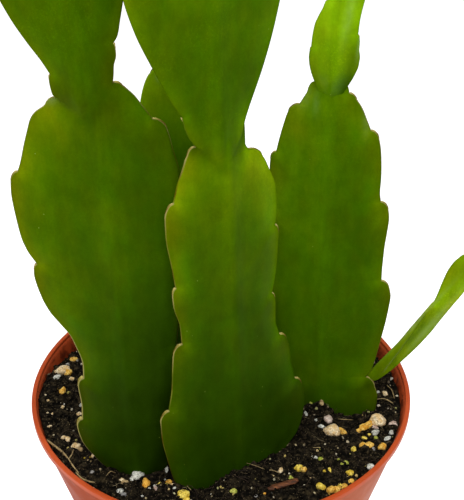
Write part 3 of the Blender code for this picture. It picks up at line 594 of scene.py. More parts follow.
# Larger grains that lie on the soil. A colour has a dark tone, a light tone and its grains, each
# (x, y, length, width, turn in degrees). Grains that touch make one lump of several parts.
GRAINS = {
    "cream": ((214, 178, 120), (240, 222, 184), [
        (-45.6, 8.5, 4.4, 2.9, 10), (-42.6, 5.4, 1.7, 1.4, 0), (-47.2, -6.6, 0.9, 0.8, 0),
        (-43.2, -7.7, 1.1, 0.9, 40), (-45.2, -11.4, 0.8, 0.7, 0), (-46.6, -11.4, 0.7, 0.5, 0),
        (-38.5, -9.8, 1.9, 1.2, 20), (-41.3, -14.5, 1.6, 1.1, 10), (-45.4, -16.0, 1.2, 1.0, 0),
        (-41.2, -19.8, 1.3, 1.1, 0), (-39.9, -20.6, 1.9, 1.4, 120), (-37.6, -23.0, 2.5, 1.9, 15),
        (-32.4, -26.4, 1.6, 1.5, 0), (-34.0, -27.4, 0.5, 0.4, 0), (-33.1, -28.1, 0.4, 0.4, 0),
        (-24.6, -34.4, 1.5, 1.2, 0), (-17.1, -33.7, 1.0, 0.7, 30), (-11.9, -36.1, 0.9, 0.5, 0),
        (-18.2, -37.8, 0.7, 0.5, 0), (-17.1, -39.8, 1.0, 0.7, 0), (41.9, -13.0, 4.4, 3.9, 28),
        (15.4, -31.1, 1.2, 1.8, 0), (23.0, -33.9, 0.8, 1.2, 20), (29.6, -17.3, 3.6, 3.9, 35),
        (45.7, -1.0, 1.4, 2.2, 20),
    ]),
    "ochre": ((212, 148, 36), (244, 204, 104), [
        (-43.9, 8.0, 2.6, 2.4, 70), (-44.1, -0.9, 1.9, 2.8, 0), (-45.9, -0.9, 1.0, 0.9, 0),
        (-43.5, 15.9, 2.1, 1.7, 30), (-12.8, -35.3, 1.7, 1.3, 40), (39.0, -14.7, 4.6, 2.0, 32),
        (36.6, -16.2, 2.2, 1.6, 60), (37.2, -22.0, 2.0, 2.3, 10), (38.9, -21.9, 2.2, 2.0, 40),
        (42.0, -22.9, 2.4, 2.1, 0), (27.4, -38.7, 2.7, 2.5, 45), (28.9, -38.3, 2.2, 2.0, 45),
        (30.8, -37.2, 2.1, 1.9, 20), (32.6, -35.5, 1.8, 1.9, 0), (21.2, -30.9, 1.7, 1.5, 40),
        (32.0, -16.7, 3.1, 1.5, 135),
    ]),
    "white": ((180, 180, 168), (234, 232, 218), [
        (-46.6, 4.9, 2.2, 1.5, 30), (-38.6, -5.6, 1.5, 1.2, 0), (-20.4, -33.3, 3.0, 2.8, 25),
        (-21.9, -34.2, 2.0, 1.3, 80), (-24.7, -38.3, 1.8, 1.2, 15), (-13.9, -34.1, 0.5, 0.6, 0),
        (-13.7, -30.3, 1.1, 2.2, 0), (-17.4, -38.0, 0.7, 1.1, 0), (-16.2, -37.2, 0.6, 0.8, 20),
        (-11.2, -38.3, 1.0, 0.6, 30), (-19.0, -40.3, 0.7, 0.6, 0), (-27.5, -41.0, 1.3, 1.0, 0),
        (45.2, -16.7, 1.5, 1.3, 60), (44.1, -18.9, 2.1, 1.2, 35), (40.9, -17.3, 2.0, 1.8, 30),
        (38.2, -30.9, 2.0, 2.2, 50), (22.5, -32.7, 0.9, 1.3, 160), (24.2, -26.2, 1.6, 0.9, 150),
        (27.0, -14.5, 2.3, 1.1, 150), (25.7, -12.0, 0.9, 0.9, 0), (23.0, -9.6, 1.0, 1.6, 10),
        (43.9, -0.4, 1.1, 1.9, 20), (48.1, 6.0, 1.6, 0.9, 20), (2.0, -39.6, 0.6, 0.6, 0),
        (12.7, -39.0, 0.6, 0.5, 0),
    ]),
    "grey": ((120, 118, 116), (176, 172, 164), [
        (-44.8, 13.2, 1.5, 1.2, 60), (-32.1, -33.0, 1.1, 1.1, 0), (-23.6, -39.6, 1.5, 1.1, 0),
        (39.7, -23.1, 0.7, 1.5, 10), (8.9, -40.2, 0.9, 0.8, 0),
    ]),
    "tan": ((140, 112, 74), (204, 178, 128), [
        (-36.3, -23.9, 1.7, 1.3, 130), (-23.6, -35.2, 2.4, 1.5, 160), (27.3, -7.8, 1.1, 2.4, 10),
        (-5.7, -43.5, 1.4, 1.2, 30),
    ]),
    "orange": ((214, 136, 24), (246, 190, 80), [
        (-18.3, -36.2, 2.1, 2.9, 0), (11.0, -39.3, 1.2, 0.8, 40),
    ]),
    "yellow": ((206, 170, 40), (246, 222, 104), [
        (-34.9, -26.7, 0.5, 0.5, 0), (-33.5, -26.5, 0.4, 0.5, 0), (-15.0, -36.5, 0.9, 0.9, 20),
        (-13.3, -37.0, 0.6, 0.6, 0), (-9.0, -40.4, 2.9, 2.4, 5), (-8.2, -41.4, 1.6, 1.8, 60),
        (39.3, -17.7, 1.2, 0.9, 150), (37.9, -18.8, 1.6, 1.0, 160), (34.6, -23.8, 1.3, 2.2, 0),
        (25.0, -37.6, 2.3, 2.2, 0), (29.8, -36.6, 1.3, 1.2, 0), (20.0, -30.4, 2.2, 1.9, 8),
        (26.4, -31.3, 1.1, 0.8, 0), (27.8, -30.8, 0.7, 1.7, 10), (32.7, -32.6, 2.1, 1.7, 0),
        (26.1, -5.8, 1.0, 0.9, 0),
    ]),
    "green": ((140, 150, 44), (202, 202, 96), [
        (-34.6, -27.9, 0.6, 0.4, 0), (40.9, -19.1, 1.2, 1.4, 0), (17.8, -33.9, 1.3, 1.9, 10),
        (30.3, -27.2, 0.8, 0.8, 0), (31.0, -28.9, 0.8, 0.7, 0), (32.2, -28.4, 1.1, 1.4, 30),
        (25.7, -27.2, 1.5, 1.2, 0), (26.3, -22.8, 1.1, 1.3, 0), (24.8, -6.4, 1.3, 0.9, 30),
        (3.4, -38.3, 1.9, 1.5, 20),
    ]),
    "pink": ((178, 148, 130), (224, 206, 190), [
        (-15.8, -38.4, 1.0, 1.5, 20), (41.0, -15.0, 2.6, 1.0, 150), (46.2, -13.8, 2.3, 1.9, 0),
        (46.4, -12.1, 1.8, 0.9, 20), (28.9, -12.0, 2.4, 3.0, 10),
    ]),
}
HIDDEN_GRAINS = 22
HIDDEN_GRAIN_SIZE = (1.5, 3.2)
HIDDEN_REACH = 45.0
HIDDEN_ANGLES = (-20.0, 200.0)
HIDDEN_COLOURS = ("cream", "ochre", "white", "pink", "yellow")
GRAIN_SPACING = 4.5
GRAIN_FLATNESS = 0.85
GRAIN_RISE = 0.26
GRAIN_LUMPS = ((1.9, 0.42), (5.5, 0.1))  # how many to a grain, and their height
LARGE_GRAIN = 2.8
# A bark chip, along (x, y, height over the soil) points
BARK_CHIP = ((11.9, -37.9, 0.5), (15.4, -36.6, 0.75), (19.4, -35.4, 1.1))
BARK_WIDTH = 1.7
BARK_THICK = 0.9
BARK_ENDS = ((0.45, 3.2), (0.6, 4.0))  # thickness of each end, as a share, and its rise from there
BARK_GRAIN = (3.0, 4.0, 0.16)  # bumps along it and round it, and their height
BARK_STEPS = 26
BARK_SIDES = 18
CRUMB_LUMPS = (1.9, 0.55)  # how many to a crumb, and their height
LUMP_OFFSETS = 90.0
FIBRE_LENGTHS = (3.0, 6.5)
FIBRE_BEND = 1.1
FIBRE_TAPER = (0.6, 2)  # the share by which the ends are thinner, and the power of the taper
STRAW_TAPER = (0.45, 3)
FIBRE_POINTS = 8
STRAW_POINTS = 22
# Straws and long fibres on the soil: thickness, then the points, each (x, y, height over the soil)
STRAWS = [
    (0.62, ((-45.3, -21.4, 0.9), (-42.9, -23.7, 0.7), (-40.4, -26.2, 0.6), (-38.4, -28.7, 0.4))),
    (0.4, ((-38.4, -28.7, 0.4), (-37.3, -30.4, 0.3), (-35.6, -32.6, 0.2))),
    (0.34, ((-38.6, -28.3, 0.4), (-37.9, -27.2, 1.0), (-37.5, -26.4, 2.0))),
    (0.46, ((-36.3, -32.4, 0.3), (-34.6, -34.6, 0.4), (-32.6, -35.9, 0.4), (-30.6, -36.4, 0.2))),
    (0.2, ((-28.4, -34.6, 0.2), (-27.4, -33.3, 0.9), (-26.2, -33.0, 0.8))),
    (0.18, ((-9.7, -33.4, 0.5), (-8.6, -34.6, 0.9), (-7.2, -35.8, 0.6))),
    (0.12, ((6.0, -29.6, 1.4), (8.5, -30.2, 1.0), (12.0, -31.4, 0.4))),
    (0.16, ((0.4, -36.8, 0.9), (1.2, -38.0, 0.7), (2.0, -39.4, 0.4))),
    (0.2, ((11.0, -31.7, 0.3), (13.0, -31.8, 0.9), (15.0, -32.4, 0.4))),
    (0.26, ((46.8, 3.2, 0.3), (47.6, -0.4, 1.1), (47.9, -3.4, 0.6))),
    (0.3, ((42.9, -3.4, 0.3), (45.2, -3.6, 0.8), (47.4, -4.9, 0.4))),
    (0.2, ((35.6, -11.4, 0.3), (33.6, -12.0, 1.0), (31.6, -11.7, 0.6))),
    (0.18, ((27.9, -24.8, 0.3), (26.2, -23.2, 0.8), (24.1, -22.9, 0.3))),
    (0.22, ((10.5, 25.0, 0.3), (14.0, 28.5, 0.9), (18.5, 30.0, 0.4))),
    (0.3, ((-22.0, 24.0, 0.3), (-26.0, 20.0, 0.9), (-30.5, 19.0, 0.4))),
]


def linear(color):
    """Display values from 0 to 255 as the linear colour that a shader takes."""
    shares = [value / 255.0 for value in color]
    return tuple(s / 12.92 if s <= 0.04045 else ((s + 0.055) / 1.055) ** 2.4 for s in shares)


def smooth_step(low, high, value):
    """0 up to low, 1 from high on, and a smooth change between."""
    share = np.clip((np.asarray(value, float) - low) / (high - low), 0.0, 1.0)
    return share * share * (3.0 - 2.0 * share)


def bell(value, width):
    """1 at zero, and a fall to nothing over about twice the width on each side."""
    return np.exp(-np.square(np.asarray(value, float) / width))


def noise_field(points, size, layer):
    """Noise of about -1 to 1 at each row of points, with lumps of a size in millimetres."""
    scaled = np.asarray(points, float) / size
    return np.array([noise.noise(Vector((x, y, z + layer))) for x, y, z in scaled])


def random_offset(draw, reach):
    """A place in the noise for one shape, so that no two shapes have the same lumps."""
    return Vector((draw.random(), draw.random(), draw.random())) * reach


# Node trees


class Graph:
    """Adds nodes to a tree. An input takes a plain value or another node's output."""

    def __init__(self, tree):
        self.tree = tree

    def add(self, kind, inputs=(), **settings):
        node = self.tree.nodes.new(kind)
        for name, value in settings.items():
            setattr(node, name, value)
        for key, value in dict(inputs).items():
            self.feed(node.inputs[key], value)
        return node

    def feed(self, socket, value):
        if isinstance(value, bpy.types.NodeSocket):
            self.tree.links.new(value, socket)
        else:
            socket.default_value = value


class Finish(Graph):
    """A Principled material. Sizes of its patterns are in millimetres."""

    def __init__(self, name, roughness=0.5, specular=0.5):
        self.material = bpy.data.materials.new(name)
        self.material.use_nodes = True
        super().__init__(self.material.node_tree)
        self.shader = self.tree.nodes["Principled BSDF"]
        self.set("Roughness", roughness)
        self.set("Specular IOR Level", specular)
        self.place = self.add("ShaderNodeTexCoord").outputs["Object"]

    def set(self, name, value):
        self.feed(self.shader.inputs[name], value)

    def tint_shine(self, color):
        self.set("Specular Tint", (*linear(color), 1.0))

    def attribute(self, name):
        return self.add("ShaderNodeAttribute", attribute_name=name).outputs["Fac"]

    def stretched(self, scale):
        mapping = self.add("ShaderNodeMapping", {"Vector": self.place})
        mapping.inputs["Scale"].default_value = scale
        return mapping.outputs["Vector"]

    def noise(self, size, detail=2.0, roughness=0.5, vector=None):
        inputs = {"Scale": 1.0 / (size * MM), "Detail": detail, "Roughness": roughness}
        inputs["Vector"] = vector or self.place
        return self.add("ShaderNodeTexNoise", inputs).outputs["Fac"]

    def cells(self, size, feature="F1"):
        inputs = {"Scale": 1.0 / (size * MM), "Vector": self.place}
        return self.add("ShaderNodeTexVoronoi", inputs, feature=feature).outputs["Distance"]

    def span(self, value, low, high, start=0.0, end=1.0):
        """start up to low, end from high on, and a smooth change between."""
        inputs = {"Value": value, 1: low, 2: high, 3: start, 4: end}
        return self.add("ShaderNodeMapRange", inputs, interpolation_type="SMOOTHSTEP").outputs[0]

    def math(self, operation, first, second=0.0):
        return self.add("ShaderNodeMath", {0: first, 1: second}, operation=operation).outputs[0]

    def product(self, *values):
        return functools.reduce(functools.partial(self.math, "MULTIPLY"), values)

    def total(self, *values):
        return functools.reduce(functools.partial(self.math, "ADD"), values)

    def mix(self, factor, first, second, blend="MIX"):
        first, second = (self.color(value) for value in (first, second))
        inputs = {0: factor, 6: first, 7: second}
        return self.add("ShaderNodeMix", inputs, data_type="RGBA", blend_type=blend).outputs[2]

    def color(self, value):
        return value if isinstance(value, bpy.types.NodeSocket) else (*linear(value), 1.0)

    def ramp(self, factor, stops):
        """A colour for each (position, colour) stop, blended between."""
        node = self.add("ShaderNodeValToRGB", {"Fac": factor})
        ramp = node.color_ramp
        while len(ramp.elements) < len(stops):
            ramp.elements.new(0.5)
        for element, (position, color) in zip(ramp.elements, stops):
            element.position = position
            element.color = (*linear(color), 1.0)
        return node.outputs["Color"]

    def relief(self, height, depth, strength=1.0, below=None):
        """Bump of a depth in millimetres. below is the relief that it lies on."""
        inputs = {"Height": height, "Distance": depth * MM, "Strength": strength}
        if below is not None:
            inputs["Normal"] = below
        return self.add("ShaderNodeBump", inputs).outputs["Normal"]


# Meshes and pieces


def mesh_from(name, points, faces, attributes=None):
    """A mesh from points in millimetres, with float values for each point."""
    mesh = bpy.data.meshes.new(name)
    mesh.from_pydata((np.asarray(points, float) * MM).tolist(), [], faces)
    for key, values in (attributes or {}).items():
        layer = mesh.attributes.new(key, "FLOAT", "POINT")
        layer.data.foreach_set("value", np.asarray(values, np.float32).ravel())
    mesh.shade_smooth()
    mesh.update()
    return mesh


def shown(name, mesh):
    made = bpy.data.objects.new(name, mesh)
    bpy.context.scene.collection.objects.link(made)
    return made


def finished(piece, finish, slot, *nodes):
    """A piece of the object: its material, its body and the nodes it stands for. slot is not used."""
    piece.data.materials.clear()
    piece.data.materials.append(finish)
    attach(piece, BODY)
    if nodes:
        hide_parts(*nodes)
    return piece


def joined(name, meshes):
    """One mesh of several, with their attributes."""
    shape = bmesh.new()
    for mesh in meshes:
        shape.from_mesh(mesh)
        bpy.data.meshes.remove(mesh)
    made = bpy.data.meshes.new(name)
    shape.to_mesh(made)
    shape.free()
    return made


def circle(radius, height, sides):
    """Points round the object's axis."""
    angles = [2.0 * math.pi * i / sides for i in range(sides)]
    return [(radius * math.cos(angle), radius * math.sin(angle), height) for angle in angles]


def wall_faces(rings, sides):
    """Faces between rings of points that stand over one another."""
    faces = []
    for low in range(0, (rings - 1) * sides, sides):
        for i in range(sides):
            beside = (i + 1) % sides
            faces.append((low + i, low + beside, low + sides + beside, low + sides + i))
    return faces


def lathe_faces(rings, sides):
    """Faces of a bottom point, rings over it and a top point."""
    faces = []
    last = 1 + (rings - 1) * sides
    for i in range(sides):
        beside = (i + 1) % sides
        faces.append((0, 1 + beside, 1 + i))
        faces.append((last + i, last + beside, last + sides))
        for low in range(1, last, sides):
            faces.append((low + i, low + beside, low + sides + beside, low + sides + i))
    return faces


def tube(points, radii, sides=8):
    """Points and faces of a closed tube along a line, in millimetres."""
    points = [Vector(point) for point in points]
    rings = []
    side = None
    for i, (point, radius) in enumerate(zip(points, radii)):
        along = (points[min(i + 1, len(points) - 1)] - points[max(i - 1, 0)]).normalized()
        side = (side or along.orthogonal()).copy()
        side = (side - along * side.dot(along)).normalized()
        other = along.cross(side)
        for step in range(sides):
            angle = 2.0 * math.pi * step / sides
            rings.append(point + (side * math.cos(angle) + other * math.sin(angle)) * radius)
    faces = wall_faces(len(points), sides)
    last = (len(points) - 1) * sides
    faces.append(tuple(range(sides - 1, -1, -1)))
    faces.append(tuple(range(last, last + sides)))
    return rings, faces


def curved(points, count):
    """A smooth line of count points through a few given ones."""
    given = [Vector(point) for point in points]
    ends = [given[0] * 2 - given[1], *given, given[-1] * 2 - given[-2]]
    line = []
    for step in range(count):
        at = step / (count - 1) * (len(given) - 1)
        i = min(int(at), len(given) - 2)
        t = at - i
        a, b, c, d = ends[i : i + 4]
        line.append(
            0.5 * (2 * b + (c - a) * t + (2 * a - 5 * b + 4 * c - d) * t**2
                   + (3 * b - a - 3 * c + d) * t**3)
        )
    return line


# Stems


def curve_through(points):
    """A smooth curve through (x, y) points that doesn't swing past any of them."""
    xs = [point[0] for point in points]
    ys = [point[1] for point in points]
    rises = [(ys[i + 1] - ys[i]) / (xs[i + 1] - xs[i]) for i in range(len(xs) - 1)]
    slopes = [rises[0]]
    for before, after in zip(rises, rises[1:]):
        same_way = before * after > 0.0
        slopes.append(2.0 * before * after / (before + after) if same_way else 0.0)
    slopes.append(rises[-1])

    def value_at(x):
        i = 0
        while i < len(xs) - 2 and x > xs[i + 1]:
            i += 1
        span = xs[i + 1] - xs[i]
        u = min(max((x - xs[i]) / span, 0.0), 1.0)
        start = ys[i] * (1 + 2 * u) * (1 - u) ** 2 + slopes[i] * span * u * (1 - u) ** 2
        end = ys[i + 1] * u * u * (3 - 2 * u) + slopes[i + 1] * span * u * u * (u - 1)
        return start + end

    return value_at


def margin(lobes):
    """Half-width as a function of height: a smooth curve up each lobe, and a round shoulder."""
    curves = []
    start = lobes[0][0]
    for lobe in lobes:
        points = lobe if lobe[0] == start else [start, *lobe]
        curves.append((points[-2], points[-1], curve_through(points)))
        start = lobe[-1]
    lowest, width = lobes[0][0]

    def half_width(height):
        if height < lowest:
            depth = float(smooth_step(lowest, -FOOT_FULL_AT, height))
            return width + (FOOT_HALF_WIDTH - width) * depth
        for shoulder, notch, curve in curves:
            if height <= notch[0]:
                break
        plain = curve(height)
        if height <= shoulder[0] or notch[1] >= shoulder[1]:
            return plain
        share = min((height - shoulder[0]) / (notch[0] - shoulder[0]), 1.0)
        rounded = notch[1] + (shoulder[1] - notch[1]) * math.sqrt(1.0 - share * share)
        return plain + (rounded - plain) * SHOULDER_ROUND

    return half_width


def top_of(stem):
    """How high along itself a stem ends."""
    return stem["left"][-1][-1][0]


def notches(stem):
    """Every notch of a stem as (side, height, half-width), lowest first."""
    found = []
    for side, lobes in ((-1.0, stem["left"]), (1.0, stem["right"])):
        found.extend((side, *lobe[-1]) for lobe in lobes[:-1])
    return sorted(found, key=lambda notch: notch[1])


def rows_of(stem, start):
    """Heights of the rows: even steps, coarse ones underground, and a few close to each notch."""
    top = top_of(stem)
    rows = list(np.arange(start, -BURIED_STEP, BURIED_STEP)) if start < -BURIED_STEP else []
    first = rows[-1] + BURIED_STEP if rows else start
    rows.extend(np.linspace(first, top, math.ceil((top - first) / ROW_STEP) + 1))
    for _, height, _ in notches(stem):
        rows.append(height)
        rows.extend(height - below for below in NOTCH_ROWS)
    rows = sorted(rows)
    kept = [rows[0]]
    for row in rows[1:]:
        if row - kept[-1] > LEAST_ROW_GAP:
            kept.append(row)
    return np.array(kept)


def centre_line(stem, height):
    """The middle of a stem at a height along it."""
    share = height / BEND_HEIGHT
    bend = Vector(stem["bend"]) * share * share
    return Vector(stem["foot"]) + Vector(stem["slope"]) * height + bend


def axes_of(stem, height):
    """The directions across a stem and out of its front, at a height."""
    turn = math.radians(stem["turn"] + stem["twist"] * height / BEND_HEIGHT)
    tilt = math.radians(stem["tilt"])
    across = Vector((math.cos(turn) * math.cos(tilt), math.sin(turn) * math.cos(tilt), -math.sin(tilt)))
    return across, Vector((math.sin(turn), -math.cos(turn), 0.0))


def distances(across, heights, edge_across, edge_heights):
    """Distance of each point of a flat outline's inside to the nearest point of its margin."""
    found = np.empty(across.shape)
    for row in range(across.shape[0]):
        gap = np.hypot(
            across[row][:, None] - edge_across[None, :],
            heights[row][:, None] - edge_heights[None, :],
        )
        found[row] = gap.min(axis=1)
    return found


def thickness(stem, across, edge, width, heights):
    """Half the thickness of a stem, from the round margin over the web to the midrib."""
    rib, web, rim = stem["half_thickness"]
    thin = np.minimum(1.0, TIP_THICKNESS + (1.0 - TIP_THICKNESS) * width / FULL_THICKNESS_WIDTH)
    narrow = np.clip(width / (4.0 * RIB_SWELL), LEAST_SWELL, 1.0)
    half = rim + (web - rim) * smooth_step(0.0, WEB_REACH, edge)
    ridge = RIB_RIDGE_SHARE * bell(across, RIB_HALF_WIDTH)
    swell = (1.0 - RIB_RIDGE_SHARE) * bell(across, RIB_SWELL * narrow)
    half += (rib - web) * (ridge + swell)
    from_rib, groove_width, groove_depth = RIB_GROOVE
    groove = bell(np.abs(across) - from_rib, groove_width)
    half -= groove_depth * groove * smooth_step(RIB_GROOVE_FROM, WEB_REACH, edge)
    round_off = np.sqrt(1.0 - np.square(1.0 - np.clip(edge / rim, 0.0, 1.0)))
    if stem["fade"]:
        top = top_of(stem)
        round_off = round_off * smooth_step(top + FADE_PAST_TOP, top - stem["fade"], heights)
    return half * thin * round_off


def veins(stem, across, heights):
    """How close each point is to a side vein, which runs up from the midrib to an areole."""
    close = np.zeros(across.shape)
    start_fade, end_fade = VEIN_ENDS
    for side, height, width in notches(stem):
        start = np.array([0.0, height - VEIN_DROP])
        run = np.array([side * width, height]) - start
        share = ((across - start[0]) * run[0] + (heights - start[1]) * run[1]) / (run @ run)
        off = np.abs((across - start[0]) * run[1] - (heights - start[1]) * run[0]) / np.hypot(*run)
        along = smooth_step(*start_fade, share) * smooth_step(*end_fade, share)
        close = np.maximum(close, bell(off, VEIN_WIDTH) * along)
    return close


def around_notches(stem, across, heights):
    """Where the skin is paler over a notch, olive under one, and corky down the lobe's shoulder."""
    paler, olive, corky = (np.zeros(across.shape) for _ in range(3))
    for side, height, width in notches(stem):
        outwards, upwards = side * across - width, heights - height

        def spot(out, up, wide, tall):
            return bell(np.hypot((outwards - out) / wide, (upwards - up) / tall), 1.0)

        paler = np.maximum.reduce([paler, spot(*PALE_SPOT), CORNER_STRENGTH * spot(*PALE_CORNER)])
        olive = np.maximum(olive, spot(*OLIVE_SPOT))
        shoulder = smooth_step(height - CORKY_FROM, height - CORKY_FULL, heights)
        shoulder = shoulder * smooth_step(height + CORKY_PAST, height, heights)
        corky = np.maximum(corky, np.where(side * across > 0.0, shoulder, 0.0))
    return paler, olive, corky


def faded(heights, low, high, start, end):
    """1 between two heights. start and end say how far out and how far in each end fades."""
    rising = smooth_step(low - start[0], low + start[1], heights)
    return rising * smooth_step(high + end[0], high - end[1], heights)


def bent(stem, across, heights):
    """How far folds and creases push a stem's front back."""
    pushed = np.zeros(across.shape)
    for start, end, depth, low, high in stem["folds"]:
        pushed += depth * smooth_step(start, end, across) * faded(heights, low, high, *FOLD_ENDS)
    for (low_x, low), (high_x, high), width, depth in stem["creases"]:
        share = np.clip((heights - low) / (high - low), -PAST_CREASE, 1.0 + PAST_CREASE)
        line = low_x + (high_x - low_x) * share
        pushed += depth * bell(across - line, width) * faded(heights, low, high, *CREASE_ENDS)
    return pushed


def soft_max(first, second, reach):
    """The larger of two surfaces, with their crease rounded over a reach."""
    return 0.5 * (first + second + np.sqrt(np.square(first - second) + reach * reach))


def spot_on(part, x, height, wide, tall):
    """A soft spot on a segment: 1 in its middle, and a fall over its reach across and along."""
    return bell(part["across"] - x, wide) * bell(part["heights"] - height, tall)


def olive_of(segment, part):
    """How olive the green is: by height, more on one side, and more under each notch."""
    olive = np.interp(part["heights"], *zip(*segment["olive"])) + OLIVE_UNDER_NOTCH * part["olive"]
    return olive - segment["olive_lean"] * part["span"]


def line_of(segment, part):
    """How strong the corky line is on each margin. Over 1 it is also wider and paler."""
    below, more = segment["low_line"]
    line = np.where(part["across"] < 0.0, *segment["line"])
    low = smooth_step(below + LOW_LINE_BLEND, below - LOW_LINE_BLEND, part["heights"])
    return line * (1.0 + more * low)


class Blade:
    """The grid of a flat stem. A stem can be several segments that grow out of one another."""

    def __init__(self, segments, start):
        base = segments[0]
        self.segments = segments
        self.lifts = [segment["foot"][2] - base["foot"][2] for segment in segments]
        rows = rows_of(base, start)
        for segment, lift in zip(segments[1:], self.lifts[1:]):
            upper = rows_of(segment, 0.0) + lift
            rows = np.concatenate([rows, upper[upper > rows[-1] + ROW_STEP / 2.0]])
        self.rows = rows
        self.frame()
        self.grid()

    def frame(self):
        """Centre line and axes of each row, which change over from one segment to the next."""
        base = self.segments[0]
        centres, across, front = [], [], []
        for row in self.rows:
            centre = centre_line(base, row)
            sideways, outwards = axes_of(base, row)
            for i in range(1, len(self.segments)):
                low = self.lifts[i]
                high = top_of(self.segments[i - 1]) + self.lifts[i - 1] + JOIN_REACH
                share = float(smooth_step(low, high, row))
                if share > 0.0:
                    other = axes_of(self.segments[i], row - low)
                    centre = centre.lerp(centre_line(self.segments[i], row - low), share)
                    sideways = sideways.lerp(other[0], share).normalized()
                    outwards = outwards.lerp(other[1], share).normalized()
            centres.append(centre)
            across.append(sideways)
            front.append(outwards)
        self.centres, self.sideways, self.outwards = (np.array(v) for v in (centres, across, front))

    def placed(self, segment, lift):
        """A segment's middle, depth and lean in the rows' axes, and its margins at each row."""
        offset, depth, lean, left, right = (np.zeros(len(self.rows)) for _ in range(5))
        margins = [margin(segment[side]) for side in ("left", "right")]
        top = top_of(segment)
        rooted = lift == 0.0
        for i, row in enumerate(self.rows):
            height = row - lift
            move = np.array(centre_line(segment, height)) - self.centres[i]
            sideways, _ = axes_of(segment, height)
            offset[i] = move @ self.sideways[i]
            depth[i] = move @ self.outwards[i]
            lean[i] = np.array(sideways) @ self.outwards[i]
            if (rooted or height >= 0.0) and height <= top:
                left[i], right[i] = (half_width(height) for half_width in margins)
        return offset, depth, lean, left, right

    def grid(self):
        """Where the grid's points lie across the stem, and how far each is from the margin."""
        placed = [self.placed(segment, lift) for segment, lift in zip(self.segments, self.lifts)]
        lefts, rights, middles = [], [], []
        for i in range(len(self.rows)):
            here = [
                (offset[i] - left[i], offset[i] + right[i])
                for offset, _, _, left, right in placed
                if left[i] + right[i] > 0.0
            ]
            lefts.append(min(left for left, _ in here))
            rights.append(max(right for _, right in here))
            middles.append(np.clip(0.0, lefts[-1] + MIDDLE_CLEAR, rights[-1] - MIDDLE_CLEAR))
        lefts, rights, middles = (np.array(v)[:, None] for v in (lefts, rights, middles))
        half = (1.0 - np.cos(np.linspace(0.0, math.pi, COLUMNS + 1))) / 2.0
        shares = np.concatenate([-half[::-1], half[1:]])[None, :]
        self.across = np.where(
            shares < 0.0, middles + shares * (middles - lefts), middles + shares * (rights - middles)
        )
        self.heights = np.repeat(self.rows[:, None], self.across.shape[1], axis=1)
        self.width = (rights - lefts) * np.ones(self.across.shape)
        self.parts = [self.part(*values) for values in zip(self.segments, self.lifts, placed)]
        self.edge = np.maximum.reduce([part["edge"] for part in self.parts])
        self.edge[:, 0] = self.edge[:, -1] = 0.0

    def part(self, segment, lift, placed):
        """One segment's own coordinates, and the depth of its front and back, over the grid."""
        offset, depth, lean, left, right = (values[:, None] for values in placed)
        exists = (left + right) > 0.0
        across = self.across - offset
        heights = self.heights - lift
        inside = exists & (across >= -left - ROUNDING) & (across <= right + ROUNDING)
        margins = np.concatenate([(offset - left)[exists], (offset + right)[exists]])
        margin_heights = np.concatenate([self.rows[exists[:, 0]]] * 2)
        edge = distances(self.across, self.heights, margins, margin_heights)
        edge = np.where(inside, edge, -edge)
        own_width = np.where(exists, left + right, LEAST_WIDTH)
        calm = np.minimum(1.0, own_width / (2.0 * FULL_THICKNESS_WIDTH))
        reach = np.where(across < 0.0, left, right)
        share = np.clip(np.abs(across) / np.maximum(reach, LEAST_WIDTH), 0.0, 1.0)
        keel = segment["keel"] * calm * (1.0 - share**KEEL_POWER)
        forward, fades_at = segment["step"]
        plane = depth + across * lean + keel + forward * smooth_step(fades_at, 0.0, heights)
        half = thickness(segment, across, np.maximum(edge, 0.0), own_width, heights)
        vein = veins(segment, across, heights)
        half = half + smooth_step(0.0, INNER_REACH, edge) * VEIN_RISE * vein
        fall = OUTSIDE_FALL * np.maximum(-edge, 0.0)
        shift = bent(segment, across, heights) * smooth_step(*FOLD_EDGE, edge)
        paler, olive, corky = around_notches(segment, across, heights)
        return {
            "across": across,
            "heights": heights,
            "edge": edge,
            "vein": vein * inside,
            "span": np.sign(across) * share,
            "paler": paler,
            "olive": olive,
            "corky": corky,
            "front": plane + half - fall - shift,
            "back": plane - half + fall - shift * BACK_SHIFT,
        }

    def surfaces(self, layer, collars=()):
        """How far forward the front and the back lie. A collar swells round a shoot's foot."""
        front, back = self.parts[0]["front"], self.parts[0]["back"]
        for part in self.parts[1:]:
            front = soft_max(front, part["front"], JOIN_ROUND)
            back = -soft_max(-back, -part["back"], JOIN_ROUND)
        inner = smooth_step(0.0, INNER_REACH, self.edge)
        for collar in collars:
            lift = collar["foot"][2] - self.segments[0]["foot"][2]
            part = self.part(collar, lift, self.placed(collar, lift))
            risen = soft_max(front, part["front"] - COLLAR_DROP, JOIN_ROUND)
            front = front + (risen - front) * smooth_step(0.0, COLLAR_EDGE, self.edge)
        flat = np.stack([self.across.ravel(), self.heights.ravel(), np.zeros(self.across.size)], axis=1)
        calm = np.minimum(1.0, self.width / (2.0 * FULL_THICKNESS_WIDTH))
        wave = WAVE * calm * noise_field(flat, WAVE_SIZE, layer).reshape(self.across.shape)
        dents, other_dents = (
            DENT * calm * inner * noise_field(flat, DENT_SIZE, layer + more).reshape(self.across.shape)
            for more in DENT_LAYERS
        )
        front = front + wave + dents
        back = back + wave - other_dents
        for column in (0, -1):
            front[:, column] = (front[:, column] + back[:, column]) / 2.0
        return front, np.minimum(back, front - LEAST_THICKNESS * inner)

    def blended(self, value_of):
        """A value over the grid, from each segment and its part, the upper ones over the lower."""
        values = value_of(self.segments[0], self.parts[0])
        beyond = np.minimum(self.parts[0]["edge"], 0.0)
        for segment, part in zip(self.segments[1:], self.parts[1:]):
            share = smooth_step(*BLEND_EDGE, part["edge"] - beyond)
            values = values + (value_of(segment, part) - values) * share
        return values

